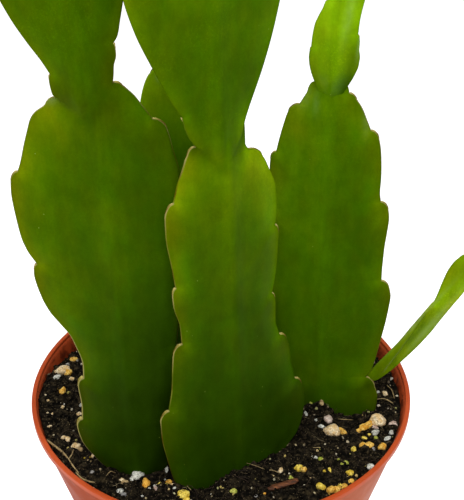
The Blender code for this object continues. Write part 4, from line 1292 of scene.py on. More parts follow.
    def tone_of(self, segment, part):
        """Painted light and shade of a segment's skin, by height, side and margin, with patches and a shadow.
        """
        tone = np.interp(part["heights"], *zip(*segment["tones"]))
        span, (lean_left, lean_right) = part["span"], segment["lean"]
        tone = tone * (1.0 + np.where(span < 0.0, -span * lean_left, span * lean_right))
        glow_left, glow_right, reach = segment["glow"]
        tone = tone * (1.0 + np.where(span < 0.0, glow_left, glow_right) * bell(part["edge"], reach))
        for *spot, amount in segment["patches"]:
            tone = tone * (1.0 + amount * spot_on(part, *spot))
        if segment is not self.segments[-1]:
            over, above = self.segments[-1], self.parts[-1]
            near = bell(np.minimum(above["edge"], 0.0), SHADOW_REACH)
            near = near * smooth_step(*SHADOW_STARTS, above["heights"])
            tone = tone * (1.0 - over["shadow"] * near)
        return np.maximum(tone, LEAST_TONE)

    def wax_and_sheen_of(self, segment, part):
        """How much pale wax and painted sheen lies on a segment's skin."""
        wax_and_sheen = np.zeros(self.across.shape)
        for *spot, amount in segment["wax_and_sheen"]:
            wax_and_sheen = np.maximum(wax_and_sheen, amount * spot_on(part, *spot))
        return wax_and_sheen

    def mesh(self, name, layer, collars=()):
        """The stem's closed skin, with the values that its finish reads."""
        front, back = self.surfaces(layer, collars)
        plane = self.centres[:, None, :] + self.across[:, :, None] * self.sideways[:, None, :]
        front = plane + front[:, :, None] * self.outwards[:, None, :]
        back = plane + back[:, :, None] * self.outwards[:, None, :]
        self.margins = {-1.0: front[:, 0], 1.0: front[:, -1]}
        ring = np.concatenate([front, back[:, -2:0:-1]], axis=1)
        around = ring.shape[1]
        points = ring.reshape(-1, 3)
        caps = np.array([ring[0].mean(axis=0), ring[-1].mean(axis=0)])
        faces = wall_faces(len(self.rows), around)
        top = (len(self.rows) - 1) * around
        for i in range(around):
            beside = (i + 1) % around
            faces.append((beside, i, len(points)))
            faces.append((top + i, top + beside, len(points) + 1))

        def both(values):
            ringed = np.concatenate([values, values[:, -2:0:-1]], axis=1).ravel()
            return np.concatenate([ringed, [ringed[0], ringed[-1]]])

        by_segment = {
            "rib": lambda segment, part: np.abs(part["across"]),
            "line": line_of,
            "tone": self.tone_of,
            "wax_and_sheen": self.wax_and_sheen_of,
            "paler": lambda segment, part: part["paler"],
            "olive": olive_of,
            "corky": lambda segment, part: part["corky"],
            "young": lambda segment, part: np.full(self.across.shape, 1.0 - segment["age"]),
        }
        attributes = {key: both(self.blended(value_of)) for key, value_of in by_segment.items()}
        attributes["edge"] = both(self.edge)
        attributes["vein"] = both(np.maximum.reduce([part["vein"] for part in self.parts]))
        return mesh_from(name, np.concatenate([points, caps]), faces, attributes)


def areole(blade, lift, side, height, age, draw):
    """A woolly scale that caps the shoulder under one notch, thickest at the notch."""
    low = 1.0 - min(height / AREOLE_THIN_AT, 1.0)
    young, older, lower = AREOLE_SHARES
    size = AREOLE_SIZE * (young + older * age + lower * age * low) * draw.uniform(*AREOLE_SIZES)
    young, older = AREOLE_REACH_SHARES
    reach = AREOLE_REACH * (young + older * age) * draw.uniform(*AREOLE_REACHES)
    power, least, first = AREOLE_TAPER
    line, radii = [], []
    for step in range(AREOLE_STEPS):
        share = step / (AREOLE_STEPS - 1)
        at = lift + height + AREOLE_RISE - reach * share**AREOLE_CROWDING
        point = [np.interp(at, blade.rows, blade.margins[side][:, axis]) for axis in range(3)]
        line.append(Vector(point))
        radii.append(size * ((1.0 - share) ** power + least) * (first if step == 0 else 1.0))
    points, faces = tube(line, radii, AREOLE_SIDES)
    offset = random_offset(draw, WOOL_OFFSETS)
    count, depth = WOOL_LUMPS
    shaped = []
    for number, point in enumerate(points):
        centre = line[number // AREOLE_SIDES]
        wool = 1.0 + depth * noise.noise(point * count + offset)
        shaped.append(centre + (point - centre) * wool)
    fray = [(point - line[0]).length for point in shaped]
    return mesh_from("areole", shaped, faces, {"fray": fray})


def stem_skin(name, roughness, specular):
    """Waxy skin. The mesh says how light it is, in painted light and shade, and where its ribs, veins and
    margins lie.
    """
    skin = Finish(name, roughness, specular)
    skin.tint_shine(WAX_TINT)
    edge, young = skin.attribute("edge"), skin.attribute("young")
    line_share = skin.attribute("line")
    strength, widening = skin.math("MINIMUM", line_share, 1.0), skin.math("MAXIMUM", line_share, 1.0)
    upright = skin.stretched((1.0, 1.0, 0.55))
    broad = skin.span(skin.noise(11.0, 3.0, 0.55), 0.3, 0.7, 0.9, 1.1)
    mottle = skin.span(skin.noise(3.0, 4.0, 0.6, vector=upright), 0.3, 0.7, 0.91, 1.09)
    fibres = skin.noise(1.6, 3.0, vector=skin.stretched((1.0, 1.0, 0.08)))
    streaks = skin.span(fibres, 0.3, 0.7, 0.975, 1.025)
    near_rib = skin.span(skin.attribute("rib"), 0.5, 4.2, 1.0, 0.0)
    rib = skin.total(1.0, skin.product(near_rib, skin.span(fibres, 0.3, 0.7, 0.03, 0.12)))
    vein = skin.total(1.0, skin.product(skin.attribute("vein"), 0.04))
    paler = skin.attribute("paler")
    glow = skin.total(1.0, skin.product(paler, 0.2))
    speckle = skin.span(skin.noise(0.6, 3.0, 0.7), 0.35, 0.7, -0.05, 0.07)
    grainy = skin.span(skin.noise(15.0, 1.0), 0.48, 0.6)
    stipple = skin.product(skin.span(skin.noise(0.4, 2.0), 0.52, 0.72, 0.0, 0.2), grainy)
    fine = skin.total(1.0, skin.product(speckle, 0.8), skin.product(stipple, skin.total(0.4, young)))
    level = skin.product(skin.attribute("tone"), broad, mottle, streaks, rib, vein, glow, fine)
    hues = skin.span(skin.noise(4.2, 4.0, 0.65, vector=upright), 0.32, 0.68, -0.1, 0.12)
    washes = skin.span(skin.noise(13.0, 2.0), 0.35, 0.65, -0.06, 0.06)
    rosy = skin.product(skin.span(edge, 0.2, 3.6, 0.36, 0.0), strength)
    flush = skin.math("SUBTRACT", rosy, skin.product(paler, 0.1))
    olive = skin.total(hues, washes, skin.attribute("olive"), flush)
    base = skin.mix(olive, skin.ramp(level, GREEN_RAMP), skin.ramp(level, OLIVE_RAMP))
    dots = skin.span(skin.cells(2.4), 0.03, 0.075, 0.35, 0.0)
    rare = skin.span(skin.noise(8.0, 1.0), 0.54, 0.62)
    base = skin.mix(skin.product(dots, rare), base, (150, 172, 80))
    # Pale wax and painted sheen whiten the skin in blotches.
    wax_and_sheen_share = skin.product(skin.attribute("wax_and_sheen"), skin.span(skin.noise(1.6, 4.0, 0.6), 0.3, 0.62, 0.45, 1.0))
    base = skin.mix(wax_and_sheen_share, base, (160, 180, 128))
    corky = skin.attribute("corky")
    worn = skin.span(skin.noise(5.0, 3.0), 0.36, 0.6, 0.25, 1.0)
    outer = skin.span(skin.math("DIVIDE", edge, widening), *LINE_EDGE, 1.0, 0.0)
    corky = skin.math("MAXIMUM", corky, skin.span(line_share, 1.0, 2.0))
    drawn = skin.product(outer, strength, skin.math("MAXIMUM", worn, corky))
    line = skin.mix(skin.span(skin.noise(9.0, 2.0), 0.42, 0.6), (112, 112, 38), (84, 62, 14))
    line = skin.mix(corky, line, (156, 144, 84))
    skin.set("Base Color", skin.mix(drawn, base, line))
    skin.set("Specular IOR Level", skin.span(edge, 0.1, 1.5, 0.0, specular))
    grain = skin.relief(skin.noise(0.5, 3.0, 0.6), 0.04, 0.3)
    skin.set("Normal", skin.relief(skin.noise(2.6, 3.0), 0.1, 0.35, below=grain))
    return skin.material


def areole_finish():
    wool = Finish("areole_wool", 0.9, 0.04)
    near = wool.span(wool.attribute("fray"), 0.0, 2.2)
    colour = wool.ramp(near, [(0.0, (184, 172, 104)), (0.4, (146, 134, 62)), (1.0, (92, 78, 24))])
    stain = wool.span(wool.noise(0.6, 3.0), 0.4, 0.7)
    wool.set("Base Color", wool.mix(wool.product(stain, 0.5), colour, (104, 80, 36)))
    wool.set("Normal", wool.relief(wool.noise(0.3, 3.0), 0.15, 0.8))
    return wool.material


def make_stems():
    """Each stem or shoot, with its areoles in a piece of their own."""
    mature = stem_skin("stem_skin", 0.45, 0.02)
    young = stem_skin("shoot_skin", 0.32, 0.08)
    wool = areole_finish()
    parts = (
        ("stem_left", mature, "mature_stem", (LEFT_LOWER, LEFT_UPPER), ()),
        ("stem_front", mature, "mature_stem", (FRONT_LOWER, FRONT_UPPER), ()),
        ("stem_right", mature, "mature_stem", (RIGHT_LOWER,), (TOP_SHOOT,)),
        ("stem_back", mature, "mature_stem", (BACK,), ()),
        ("shoot_top", young, "young_shoot", (TOP_SHOOT,), ()),
        ("shoot_side", young, "young_shoot", (SIDE_SHOOT,), ()),
    )
    draw = random.Random(SEED)
    for number, (name, skin, slot, segments, collars) in enumerate(parts):
        stem = Blade(segments, -BURIED if slot == "mature_stem" else 0.0)
        mesh = stem.mesh(f"{name}_skin", 10.0 * number, collars)
        finished(shown(f"{name}_skin", mesh), skin, slot, name)
        scales = [
            areole(stem, lift, side, height, segment["age"], draw)
            for segment, lift in zip(segments, stem.lifts)
            for side, height, _ in notches(segment)
            if height > LOWEST_AREOLE and height not in segment["bare"]
        ]
        finished(shown(f"{name}_areoles", joined(f"{name}_areoles", scales)), wool, slot)


# Pot


def pot_radius(height):
    """Outer radius of the pot's wall under its lip."""
    under_lip = RIM_RADIUS - LIP_OVERHANG
    share = (height - BASE_FILLET) / (POT_HEIGHT - LIP_HEIGHT - BASE_FILLET)
    return BASE_RADIUS + (under_lip - BASE_RADIUS) * share


def arc(centre, radius, start, end, steps=6):
    """Points of a round corner in a profile, with its angles in degrees."""
    points = []
    for step in range(steps + 1):
        angle = math.radians(start + (end - start) * step / steps)
        points.append((centre[0] + radius * math.cos(angle), centre[1] + radius * math.sin(angle)))
    return points


def pot_profile():
    lip_bottom = POT_HEIGHT - LIP_HEIGHT
    inner_foot = FLOOR + BASE_FILLET
    channel_top = FLOOR + GROOVE_DEPTH
    walls = [lip_bottom - WALL_STEP * (step + 0.5) for step in range(WALL_STEPS)]
    profile = [(0.0, 0.0), (GROOVE_INNER, 0.0), (GROOVE_INNER + GROOVE_SLANT, GROOVE_DEPTH)]
    profile += [(GROOVE_OUTER - GROOVE_SLANT, GROOVE_DEPTH), (GROOVE_OUTER, 0.0)]
    profile += arc((BASE_RADIUS - BASE_FILLET, BASE_FILLET), BASE_FILLET, -90.0, -10.0)
    profile += [(pot_radius(height), height) for height in reversed(walls)]
    profile.append((pot_radius(lip_bottom), lip_bottom))
    profile += [(RIM_RADIUS - inwards, lip_bottom + up) for inwards, up in LIP_EDGE]
    profile += arc((RIM_RADIUS - LIP_ROUND, POT_HEIGHT - LIP_ROUND), LIP_ROUND, 0.0, 90.0)
    inner = (RIM_INNER_RADIUS + LIP_INNER_ROUND, POT_HEIGHT - LIP_INNER_ROUND)
    profile += arc(inner, LIP_INNER_ROUND, 90.0, 180.0)
    profile += [(RIM_INNER_RADIUS - inwards, POT_HEIGHT - down) for inwards, down in LIP_INSIDE]
    profile += [(pot_radius(height) - WALL, height) for height in (lip_bottom, *walls)]
    profile += [(pot_radius(inner_foot) - WALL, inner_foot), (BASE_RADIUS - WALL - BASE_FILLET, FLOOR)]
    profile += [(GROOVE_OUTER + WALL, FLOOR), (GROOVE_OUTER + WALL - GROOVE_SLANT, channel_top)]
    profile += [(GROOVE_INNER - WALL + GROOVE_SLANT, channel_top), (GROOVE_INNER - WALL, FLOOR)]
    profile.append((0.0, FLOOR))
    return profile


def turned(name, profile, sides):
    """A closed mesh from a closed (radius, height) outline that starts and ends on the axis."""
    points = [(0.0, 0.0, profile[0][1])]
    for radius, height in profile[1:-1]:
        points.extend(circle(radius, height, sides))
    points.append((0.0, 0.0, profile[-1][1]))
    return mesh_from(name, points, lathe_faces(len(profile) - 2, sides))


def settled(shape):
    """Makes what an object's modifiers do its own mesh."""
    graph = bpy.context.evaluated_depsgraph_get()
    mesh = bpy.data.meshes.new_from_object(shape.evaluated_get(graph))
    shape.modifiers.clear()
    shape.data = mesh


def cut(target, cutter):
    """Takes cutter's shape out of target, and removes cutter."""
    modifier = target.modifiers.new("Cut", "BOOLEAN")
    modifier.operation = "DIFFERENCE"
    modifier.solver = "EXACT"
    modifier.object = cutter
    settled(target)
    bpy.data.objects.remove(cutter, do_unlink=True)


def pot_finish():
    plastic = Finish("terracotta_plastic", 0.42, 0.16)
    plastic.tint_shine(PLASTIC_TINT)
    split = plastic.add("ShaderNodeSeparateXYZ", {0: plastic.place})
    flat = plastic.add("ShaderNodeCombineXYZ", {0: split.outputs[0], 1: split.outputs[1]})
    radius = plastic.add("ShaderNodeVectorMath", {0: flat.outputs[0]}, operation="LENGTH").outputs["Value"]
    height = split.outputs[2]
    middle = (pot_radius(0.0) - WALL / 2.0) * MM
    flare = pot_radius(1.0) - pot_radius(0.0)
    wall = plastic.total(plastic.product(height, flare), middle)
    inside = plastic.span(plastic.math("SUBTRACT", radius, wall), *WALL_MIDDLE, 1.0, 0.0)
    under_lip = plastic.span(height, *LIP_STARTS, 1.0, 0.0)
    clouds = plastic.span(plastic.noise(14.0, 3.0), 0.3, 0.7, 0.0, 1.0)
    body = plastic.mix(clouds, (180, 72, 30), (190, 80, 38))
    # Painted shade darkens the whole inside of the wall, with blotchy stains of soil in it.
    soiled = plastic.span(plastic.noise(3.2, 4.0, 0.65), 0.38, 0.62, 0.35, 0.95)
    grime_and_painted_shade = plastic.product(inside, under_lip, soiled)
    below_lip = plastic.product(under_lip, plastic.math("SUBTRACT", 1.0, inside))
    # Painted shade: the body under the lip is darker than the lip.
    body = plastic.mix(below_lip, body, (150, 58, 24))
    # A painted sheen: the right side of the body under the lip is paler.
    painted_sheen = plastic.span(split.outputs[0], *PAINTED_SHEEN_SIDE, 0.06, 0.42)
    painted_sheen = plastic.product(painted_sheen, below_lip, plastic.span(plastic.noise(9.0, 3.0), 0.3, 0.7, 0.7, 1.0))
    body = plastic.mix(painted_sheen, body, (210, 140, 108))
    colour = plastic.mix(grime_and_painted_shade, body, (74, 24, 8))
    dust = plastic.product(plastic.span(plastic.noise(1.1, 4.0, 0.7), 0.6, 0.72, 0.0, 0.5), inside)
    plastic.set("Base Color", plastic.mix(dust, colour, (44, 28, 22)))
    plastic.set("Roughness", plastic.span(plastic.noise(6.0, 3.0), 0.3, 0.7, 0.34, 0.48))
    plastic.set("Specular IOR Level", plastic.span(below_lip, 0.0, 1.0, 0.2, 0.01))
    draw_lines = plastic.noise(1.2, 2.0, vector=plastic.stretched((1.0, 1.0, 0.06)))
    fine = plastic.relief(draw_lines, 0.03, 0.25)
    plastic.set("Normal", plastic.relief(plastic.noise(8.0, 2.0), 0.08, 0.25, below=fine))
    return plastic.material


def make_pot():
    pot = shown("nursery_pot", turned("nursery_pot", pot_profile(), POT_SIDES))
    top = FLOOR + GROOVE_DEPTH + CUTTER_MARGIN
    middle = (GROOVE_INNER + GROOVE_OUTER) / 2.0
    bottom = -CUTTER_MARGIN
    drain = [(0.0, bottom), (DRAIN_RADIUS, bottom), (DRAIN_RADIUS, top), (0.0, top)]
    for i in range(DRAIN_HOLES):
        angle = 2.0 * math.pi * (i + 0.5) / DRAIN_HOLES
        hole = shown("drain_hole", turned("drain_hole", drain, DRAIN_SIDES))
        hole.location = (middle * MM * math.cos(angle), middle * MM * math.sin(angle), 0.0)
        cut(pot, hole)
    pot.data.shade_smooth()
    pot.data.set_sharp_from_angle(angle=math.radians(SHARP_EDGE))
    finished(pot, pot_finish(), "terracotta_plastic", "pot")


# Soil


def lump(x, y, size, layer):
    return noise.noise(Vector((x / size, y / size, layer)))


def soil_height(x, y):
    slope = float(smooth_step(0.0, SLOPE_LENGTH, y))
    lumps = LUMP_HEIGHT * lump(x, y, LUMP_SIZE, SEED)
    fine_lumps = FINE_LUMP_HEIGHT * lump(x, y, FINE_LUMP_SIZE, SEED + 1)
    forms = sum(
        height * math.exp(-(((x - at_x) / wide) ** 2) - ((y - at_y) / deep) ** 2)
        for at_x, at_y, wide, deep, height in SOIL_FORMS
    )
    return SOIL_FRONT + (SOIL_BACK - SOIL_FRONT) * slope + forms + lumps + fine_lumps


def crumbly_height(x, y):
    crumbs = sum(depth * lump(x, y, size, SEED + 5) for size, depth in CRUMB_RELIEF)
    return soil_height(x, y) + crumbs


def soil_mesh():
    """The soil from the pot's floor to its crumbly top, which reaches the pot's wall."""
    bottom = FLOOR + GROOVE_DEPTH + SOIL_LIFT
    edge = pot_radius(SOIL_FRONT) - WALL - SOIL_MARGIN
    skirt = SOIL_BACK - SOIL_SKIRT
    points = [(0.0, 0.0, bottom)]
    points += circle(pot_radius(bottom) - WALL - SOIL_LIFT, bottom, SOIL_SIDES)
    points += circle(pot_radius(skirt) - WALL - SOIL_MARGIN, skirt, SOIL_SIDES)
    rings = math.ceil(edge / SOIL_RING)
    for ring in range(rings, 0, -1):
        for i in range(SOIL_SIDES):
            angle = 2.0 * math.pi * i / SOIL_SIDES
            radius = edge * ring / rings
            if ring == rings:
                height = crumbly_height(edge * math.cos(angle), edge * math.sin(angle))
                radius = pot_radius(height) - WALL - SOIL_MARGIN
            x, y = radius * math.cos(angle), radius * math.sin(angle)
            points.append((x, y, crumbly_height(x, y)))
    points.append((0.0, 0.0, crumbly_height(0.0, 0.0)))
    # Crumbs lie only where the surface is open, which the skirt and the outermost ring aren't.
    closed = 1 + 3 * SOIL_SIDES
    open_top = [0.0 if number < closed else 1.0 for number in range(len(points))]
    return mesh_from("soil_bed", points, lathe_faces(rings + 2, SOIL_SIDES), {"open": open_top})


def peat_finish(name, tones):
    peat = Finish(name, 0.9, 0.05)
    grainy = peat.span(peat.noise(1.6, 5.0, 0.65), 0.3, 0.7)
    colour = peat.ramp(grainy, tones)
    specks = peat.product(peat.span(peat.noise(0.4, 2.0), 0.65, 0.72), 0.7)
    peat.set("Base Color", peat.mix(specks, colour, (138, 120, 88)))
    coarse = peat.relief(peat.noise(1.4, 4.0, 0.7), 0.5, 0.8)
    peat.set("Normal", peat.relief(peat.noise(0.35, 3.0), 0.15, 0.7, below=coarse))
    return peat.material


def crumb_shapes(count, subdivisions, squash):
    """Rough lumps one millimetre across, in a collection of their own."""
    lumps, depth = CRUMB_LUMPS
    draw = random.Random(SEED + subdivisions)
    shapes = bpy.data.collections.new("crumb_shapes")
    for _ in range(count):
        shape = bmesh.new()
        bmesh.ops.create_icosphere(shape, subdivisions=subdivisions, radius=0.5 * MM)
        offset = random_offset(draw, LUMP_OFFSETS)
        for vertex in shape.verts:
            vertex.co *= 1.0 + depth * noise.noise(vertex.co / MM * lumps + offset)
            vertex.co.z *= squash
        mesh = bpy.data.meshes.new("crumb_shape")
        shape.to_mesh(mesh)
        shape.free()
        shapes.objects.link(bpy.data.objects.new("crumb_shape", mesh))
    return shapes


def tapered(thick, count, taper, power):
    """Radii along a line of count points that thins towards both ends."""
    along = [abs(2.0 * i / (count - 1) - 1.0) for i in range(count)]
    return [thick / 2 * (1.0 - taper * share**power) for share in along]


def fibre_shapes(count, thickness, sides):
    """Thin bent fibres three to six millimetres long, in a collection of their own."""
    draw = random.Random(SEED + 3)
    shapes = bpy.data.collections.new("fibre_shapes")
    for _ in range(count):
        length = draw.uniform(*FIBRE_LENGTHS)
        bends = [draw.uniform(-FIBRE_BEND, FIBRE_BEND) for _ in range(3)]
        ends = [
            (-length / 2, 0.0, 0.0),
            (-length / 6, bends[0], 0.3 + 0.3 * bends[2]),
            (length / 6, bends[1], 0.35),
            (length / 2, 0.4 * bends[2], 0.0),
        ]
        radii = tapered(thickness, FIBRE_POINTS, *FIBRE_TAPER)
        points, faces = tube(curved(ends, FIBRE_POINTS), radii, sides)
        shapes.objects.link(bpy.data.objects.new("fibre_shape", mesh_from("fibre_shape", points, faces)))
    return shapes


def scatter_tree():
    """Geometry nodes that spread the shapes of a collection over a surface."""
    tree = bpy.data.node_groups.new("scatter", "GeometryNodeTree")
    inputs = (
        ("Surface", "NodeSocketGeometry"),
        ("Shapes", "NodeSocketCollection"),
        ("Density", "NodeSocketFloat"),
        ("Smallest", "NodeSocketFloat"),
        ("Largest", "NodeSocketFloat"),
        ("Tilt", "NodeSocketFloat"),
        ("Lowest", "NodeSocketFloat"),
        ("Highest", "NodeSocketFloat"),
        ("Seed", "NodeSocketInt"),
        ("Finish", "NodeSocketMaterial"),
    )
    for name, kind in inputs:
        tree.interface.new_socket(name, in_out="INPUT", socket_type=kind)
    tree.interface.new_socket("Scattered", in_out="OUTPUT", socket_type="NodeSocketGeometry")
    graph = Graph(tree)
    given = graph.add("NodeGroupInput").outputs
    open_top = graph.add("GeometryNodeInputNamedAttribute", {"Name": "open"}).outputs["Attribute"]
    density = graph.add("ShaderNodeMath", {0: given["Density"], 1: open_top}, operation="MULTIPLY")
    spread = graph.add(
        "GeometryNodeDistributePointsOnFaces",
        {"Mesh": given["Surface"], "Density": density.outputs[0], "Seed": given["Seed"]},
    )
    shapes = graph.add(
        "GeometryNodeCollectionInfo", {"Collection": given["Shapes"], "Separate Children": True}
    )
    full_turn = graph.add("ShaderNodeCombineXYZ", {0: given["Tilt"], 1: given["Tilt"], 2: math.pi})
    back_turn = graph.add("ShaderNodeVectorMath", {0: full_turn.outputs[0]}, operation="SCALE")
    back_turn.inputs["Scale"].default_value = -1.0
    turn = graph.add(
        "FunctionNodeRandomValue",
        {0: back_turn.outputs[0], 1: full_turn.outputs[0], "Seed": given["Seed"]},
        data_type="FLOAT_VECTOR",
    )

    def random_value(low, high, more):
        seed = graph.add("ShaderNodeMath", {0: given["Seed"], 1: more}, operation="ADD")
        inputs = {2: low, 3: high, "Seed": seed.outputs[0]}
        return graph.add("FunctionNodeRandomValue", inputs, data_type="FLOAT").outputs[1]

    placed = graph.add(
        "GeometryNodeInstanceOnPoints",
        {
            "Points": spread.outputs["Points"],
            "Instance": shapes.outputs[0],
            "Pick Instance": True,
            "Rotation": turn.outputs["Value"],
            "Scale": random_value(given["Smallest"], given["Largest"], 11.0),
        },
    )
    lift = random_value(given["Lowest"], given["Highest"], 23.0)
    upwards = graph.add("ShaderNodeCombineXYZ", {2: lift})
    moved = graph.add(
        "GeometryNodeTranslateInstances",
        {"Instances": placed.outputs[0], "Translation": upwards.outputs[0], "Local Space": False},
    )
    stored = graph.add(
        "GeometryNodeStoreNamedAttribute",
        {"Geometry": moved.outputs[0], "Name": "shade", "Value": random_value(0.0, 1.0, 37.0)},
        data_type="FLOAT",
        domain="INSTANCE",
    )
    solid = graph.add("GeometryNodeRealizeInstances", {"Geometry": stored.outputs[0]})
    painted = graph.add(
        "GeometryNodeSetMaterial", {"Geometry": solid.outputs[0], "Material": given["Finish"]}
    )
    graph.add("NodeGroupOutput", {0: painted.outputs[0]})
    return tree


def scattered(name, tree, surface, finish, values):
    """One piece of the shapes that the scatter tree spreads over a surface."""
    host = shown(name, surface.data.copy())
    modifier = host.modifiers.new("Scatter", "NODES")
    modifier.node_group = tree
    sockets = {item.name: item.identifier for item in tree.interface.items_tree if item.in_out == "INPUT"}
    for key, value in {**values, "Finish": finish}.items():
        modifier[sockets[key]] = value
    settled(host)
    for item in list(values["Shapes"].objects):
        bpy.data.objects.remove(item, do_unlink=True)
    bpy.data.collections.remove(values["Shapes"])
    return finished(host, finish, "potting_mix")


def grit_finish():
    grit = Finish("fine_grit", 0.85, 0.25)
    tones = [
        (0.0, (96, 84, 66)),
        (0.25, (176, 160, 118)),
        (0.45, (214, 204, 178)),
        (0.6, (150, 150, 84)),
        (0.75, (196, 166, 92)),
        (1.0, (226, 222, 210)),
    ]
    colour = grit.ramp(grit.attribute("shade"), tones)
    pores = grit.product(grit.span(grit.noise(0.4, 3.0), 0.35, 0.6, 1.0, 0.0), 0.45)
    grit.set("Base Color", grit.mix(pores, colour, (70, 58, 44)))
    grit.set("Normal", grit.relief(grit.noise(0.35, 3.0), 0.12, 0.7))
    return grit.material


def fibre_finish(name, dark, pale):
    fibre = Finish(name, 0.75, 0.3)
    fibre.set("Base Color", fibre.mix(fibre.attribute("shade"), dark, pale))
    fibre.set("Normal", fibre.relief(fibre.noise(0.3, 2.0), 0.05, 0.5))
    return fibre.material


def grain_mesh(draw, x, y, length, width, turn):
    """One irregular mineral grain, sunk a little into the soil."""
    shape = bmesh.new()
    subdivisions = 4 if length > LARGE_GRAIN else 3
    bmesh.ops.create_icosphere(shape, subdivisions=subdivisions, radius=0.5)
    offset = random_offset(draw, LUMP_OFFSETS)
    height = GRAIN_FLATNESS * min(length, width)
    for vertex in shape.verts:
        bumps = sum(depth * noise.noise(vertex.co * count + offset) for count, depth in GRAIN_LUMPS)
        vertex.co *= 1.0 + bumps
    placed = (
        Matrix.Translation(Vector((x, y, soil_height(x, y) + GRAIN_RISE * height)) * MM)
        @ Matrix.Rotation(math.radians(turn), 4, "Z")
        @ Matrix.Diagonal((length * MM, width * MM, height * MM, 1.0))
    )
    bmesh.ops.transform(shape, matrix=placed, verts=shape.verts)
    mesh = bpy.data.meshes.new("grain")
    shape.to_mesh(mesh)
    shape.free()
    mesh.shade_smooth()
    return mesh


def grain_finish(name, dark, light):
    stone = Finish(name, 0.85, 0.25)
    patches = stone.span(stone.noise(1.1, 4.0, 0.6), 0.36, 0.64)
    colour = stone.mix(patches, dark, light)
    pores = stone.span(stone.noise(0.34, 3.0, 0.6), 0.36, 0.5, 0.75, 0.0)
    soiled = stone.product(stone.span(stone.noise(1.5, 4.0, 0.7), 0.56, 0.7), 0.7)
    colour = stone.mix(pores, colour, tuple(0.62 * value for value in dark))
    stone.set("Base Color", stone.mix(soiled, colour, (58, 44, 32)))
    rough = stone.relief(stone.noise(0.8, 4.0, 0.65), 0.3, 0.7)
    stone.set("Normal", stone.relief(stone.noise(0.25, 3.0), 0.1, 0.6, below=rough))
    return stone.material


def hidden_grains(draw):
    """More grains where the stems hide the soil, each kept clear of the others."""
    in_view = [grain for _, _, grains in GRAINS.values() for grain in grains]
    made = []
    while len(made) < HIDDEN_GRAINS:
        radius = HIDDEN_REACH * math.sqrt(draw.random())
        angle = math.radians(draw.uniform(*HIDDEN_ANGLES))
        x, y = radius * math.cos(angle), radius * math.sin(angle)
        size = draw.uniform(*HIDDEN_GRAIN_SIZE)
        turn = draw.uniform(0.0, 180.0)
        gaps = (math.hypot(x - other[0], y - other[1]) for other in in_view + made)
        if min(gaps) > GRAIN_SPACING:
            made.append((x, y, size, size * GRAIN_FLATNESS, turn))
    return made


def make_grains():
    draw = random.Random(SEED)
    hidden = hidden_grains(draw)
    for colour, (dark, light, grains) in GRAINS.items():
        if colour in HIDDEN_COLOURS:
            grains = grains + hidden[HIDDEN_COLOURS.index(colour) :: len(HIDDEN_COLOURS)]
        meshes = [grain_mesh(draw, *grain) for grain in grains]
        piece = shown(f"grains_{colour}", joined(f"grains_{colour}", meshes))
        finished(piece, grain_finish(f"grain_{colour}", dark, light), "potting_mix")


def laid(points):
    """Points over the soil from (x, y, height over it) ones."""
    return [Vector((x, y, soil_height(x, y) + rise)) for x, y, rise in points]


def make_bark():
    line = laid(BARK_CHIP)
    (first, first_rise), (last, last_rise) = BARK_ENDS
    along_grain, round_grain, roughness = BARK_GRAIN
    points = []
    for i, centre in enumerate(curved(line, BARK_STEPS)):
        share = i / (BARK_STEPS - 1)
        along = (line[-1] - line[0]).normalized()
        side = along.cross(Vector((0.0, 0.0, 1.0))).normalized()
        up = side.cross(along)
        taper = min(1.0, first + first_rise * share) * min(1.0, last + last_rise * (1.0 - share))
        for step in range(BARK_SIDES):
            angle = 2.0 * math.pi * step / BARK_SIDES
            round_at = math.cos(angle) * round_grain, math.sin(angle) * round_grain
            rough = 1.0 + roughness * noise.noise(Vector((share * along_grain, *round_at)))
            flat = side * math.cos(angle) * BARK_WIDTH / 2 + up * math.sin(angle) * BARK_THICK / 2
            points.append(centre + flat * taper * rough)
    faces = [(a, d, c, b) for a, b, c, d in wall_faces(BARK_STEPS, BARK_SIDES)]
    faces.append(tuple(range(BARK_SIDES)))
    faces.append(tuple(reversed(range(len(points) - BARK_SIDES, len(points)))))
    wood = Finish("bark_wood", 0.7, 0.3)
    grain = wood.noise(0.5, 4.0, 0.6, vector=wood.stretched((0.35, 1.0, 1.0)))
    colour = wood.ramp(grain, [(0.25, (34, 19, 9)), (0.5, (84, 46, 22)), (0.75, (146, 88, 50))])
    wood.set("Base Color", colour)
    wood.set("Normal", wood.relief(grain, 0.2, 0.8))
    finished(shown("bark_chip", mesh_from("bark_chip", points, faces)), wood.material, "potting_mix")


def make_straws():
    straw = Finish("straw", 0.6, 0.35)
    lines = straw.noise(0.8, 3.0, vector=straw.stretched((0.5, 0.5, 1.0)))
    straw.set("Base Color", straw.ramp(lines, [(0.3, (96, 74, 44)), (0.7, (188, 164, 110))]))
    straw.set("Normal", straw.relief(lines, 0.06, 0.6))
    meshes = []
    for thick, points in STRAWS:
        line = curved(laid(points), STRAW_POINTS)
        radii = tapered(thick, STRAW_POINTS, *STRAW_TAPER)
        meshes.append(mesh_from("straw", *tube(line, radii, 8)))
    finished(shown("straws", joined("straws", meshes)), straw.material, "potting_mix")


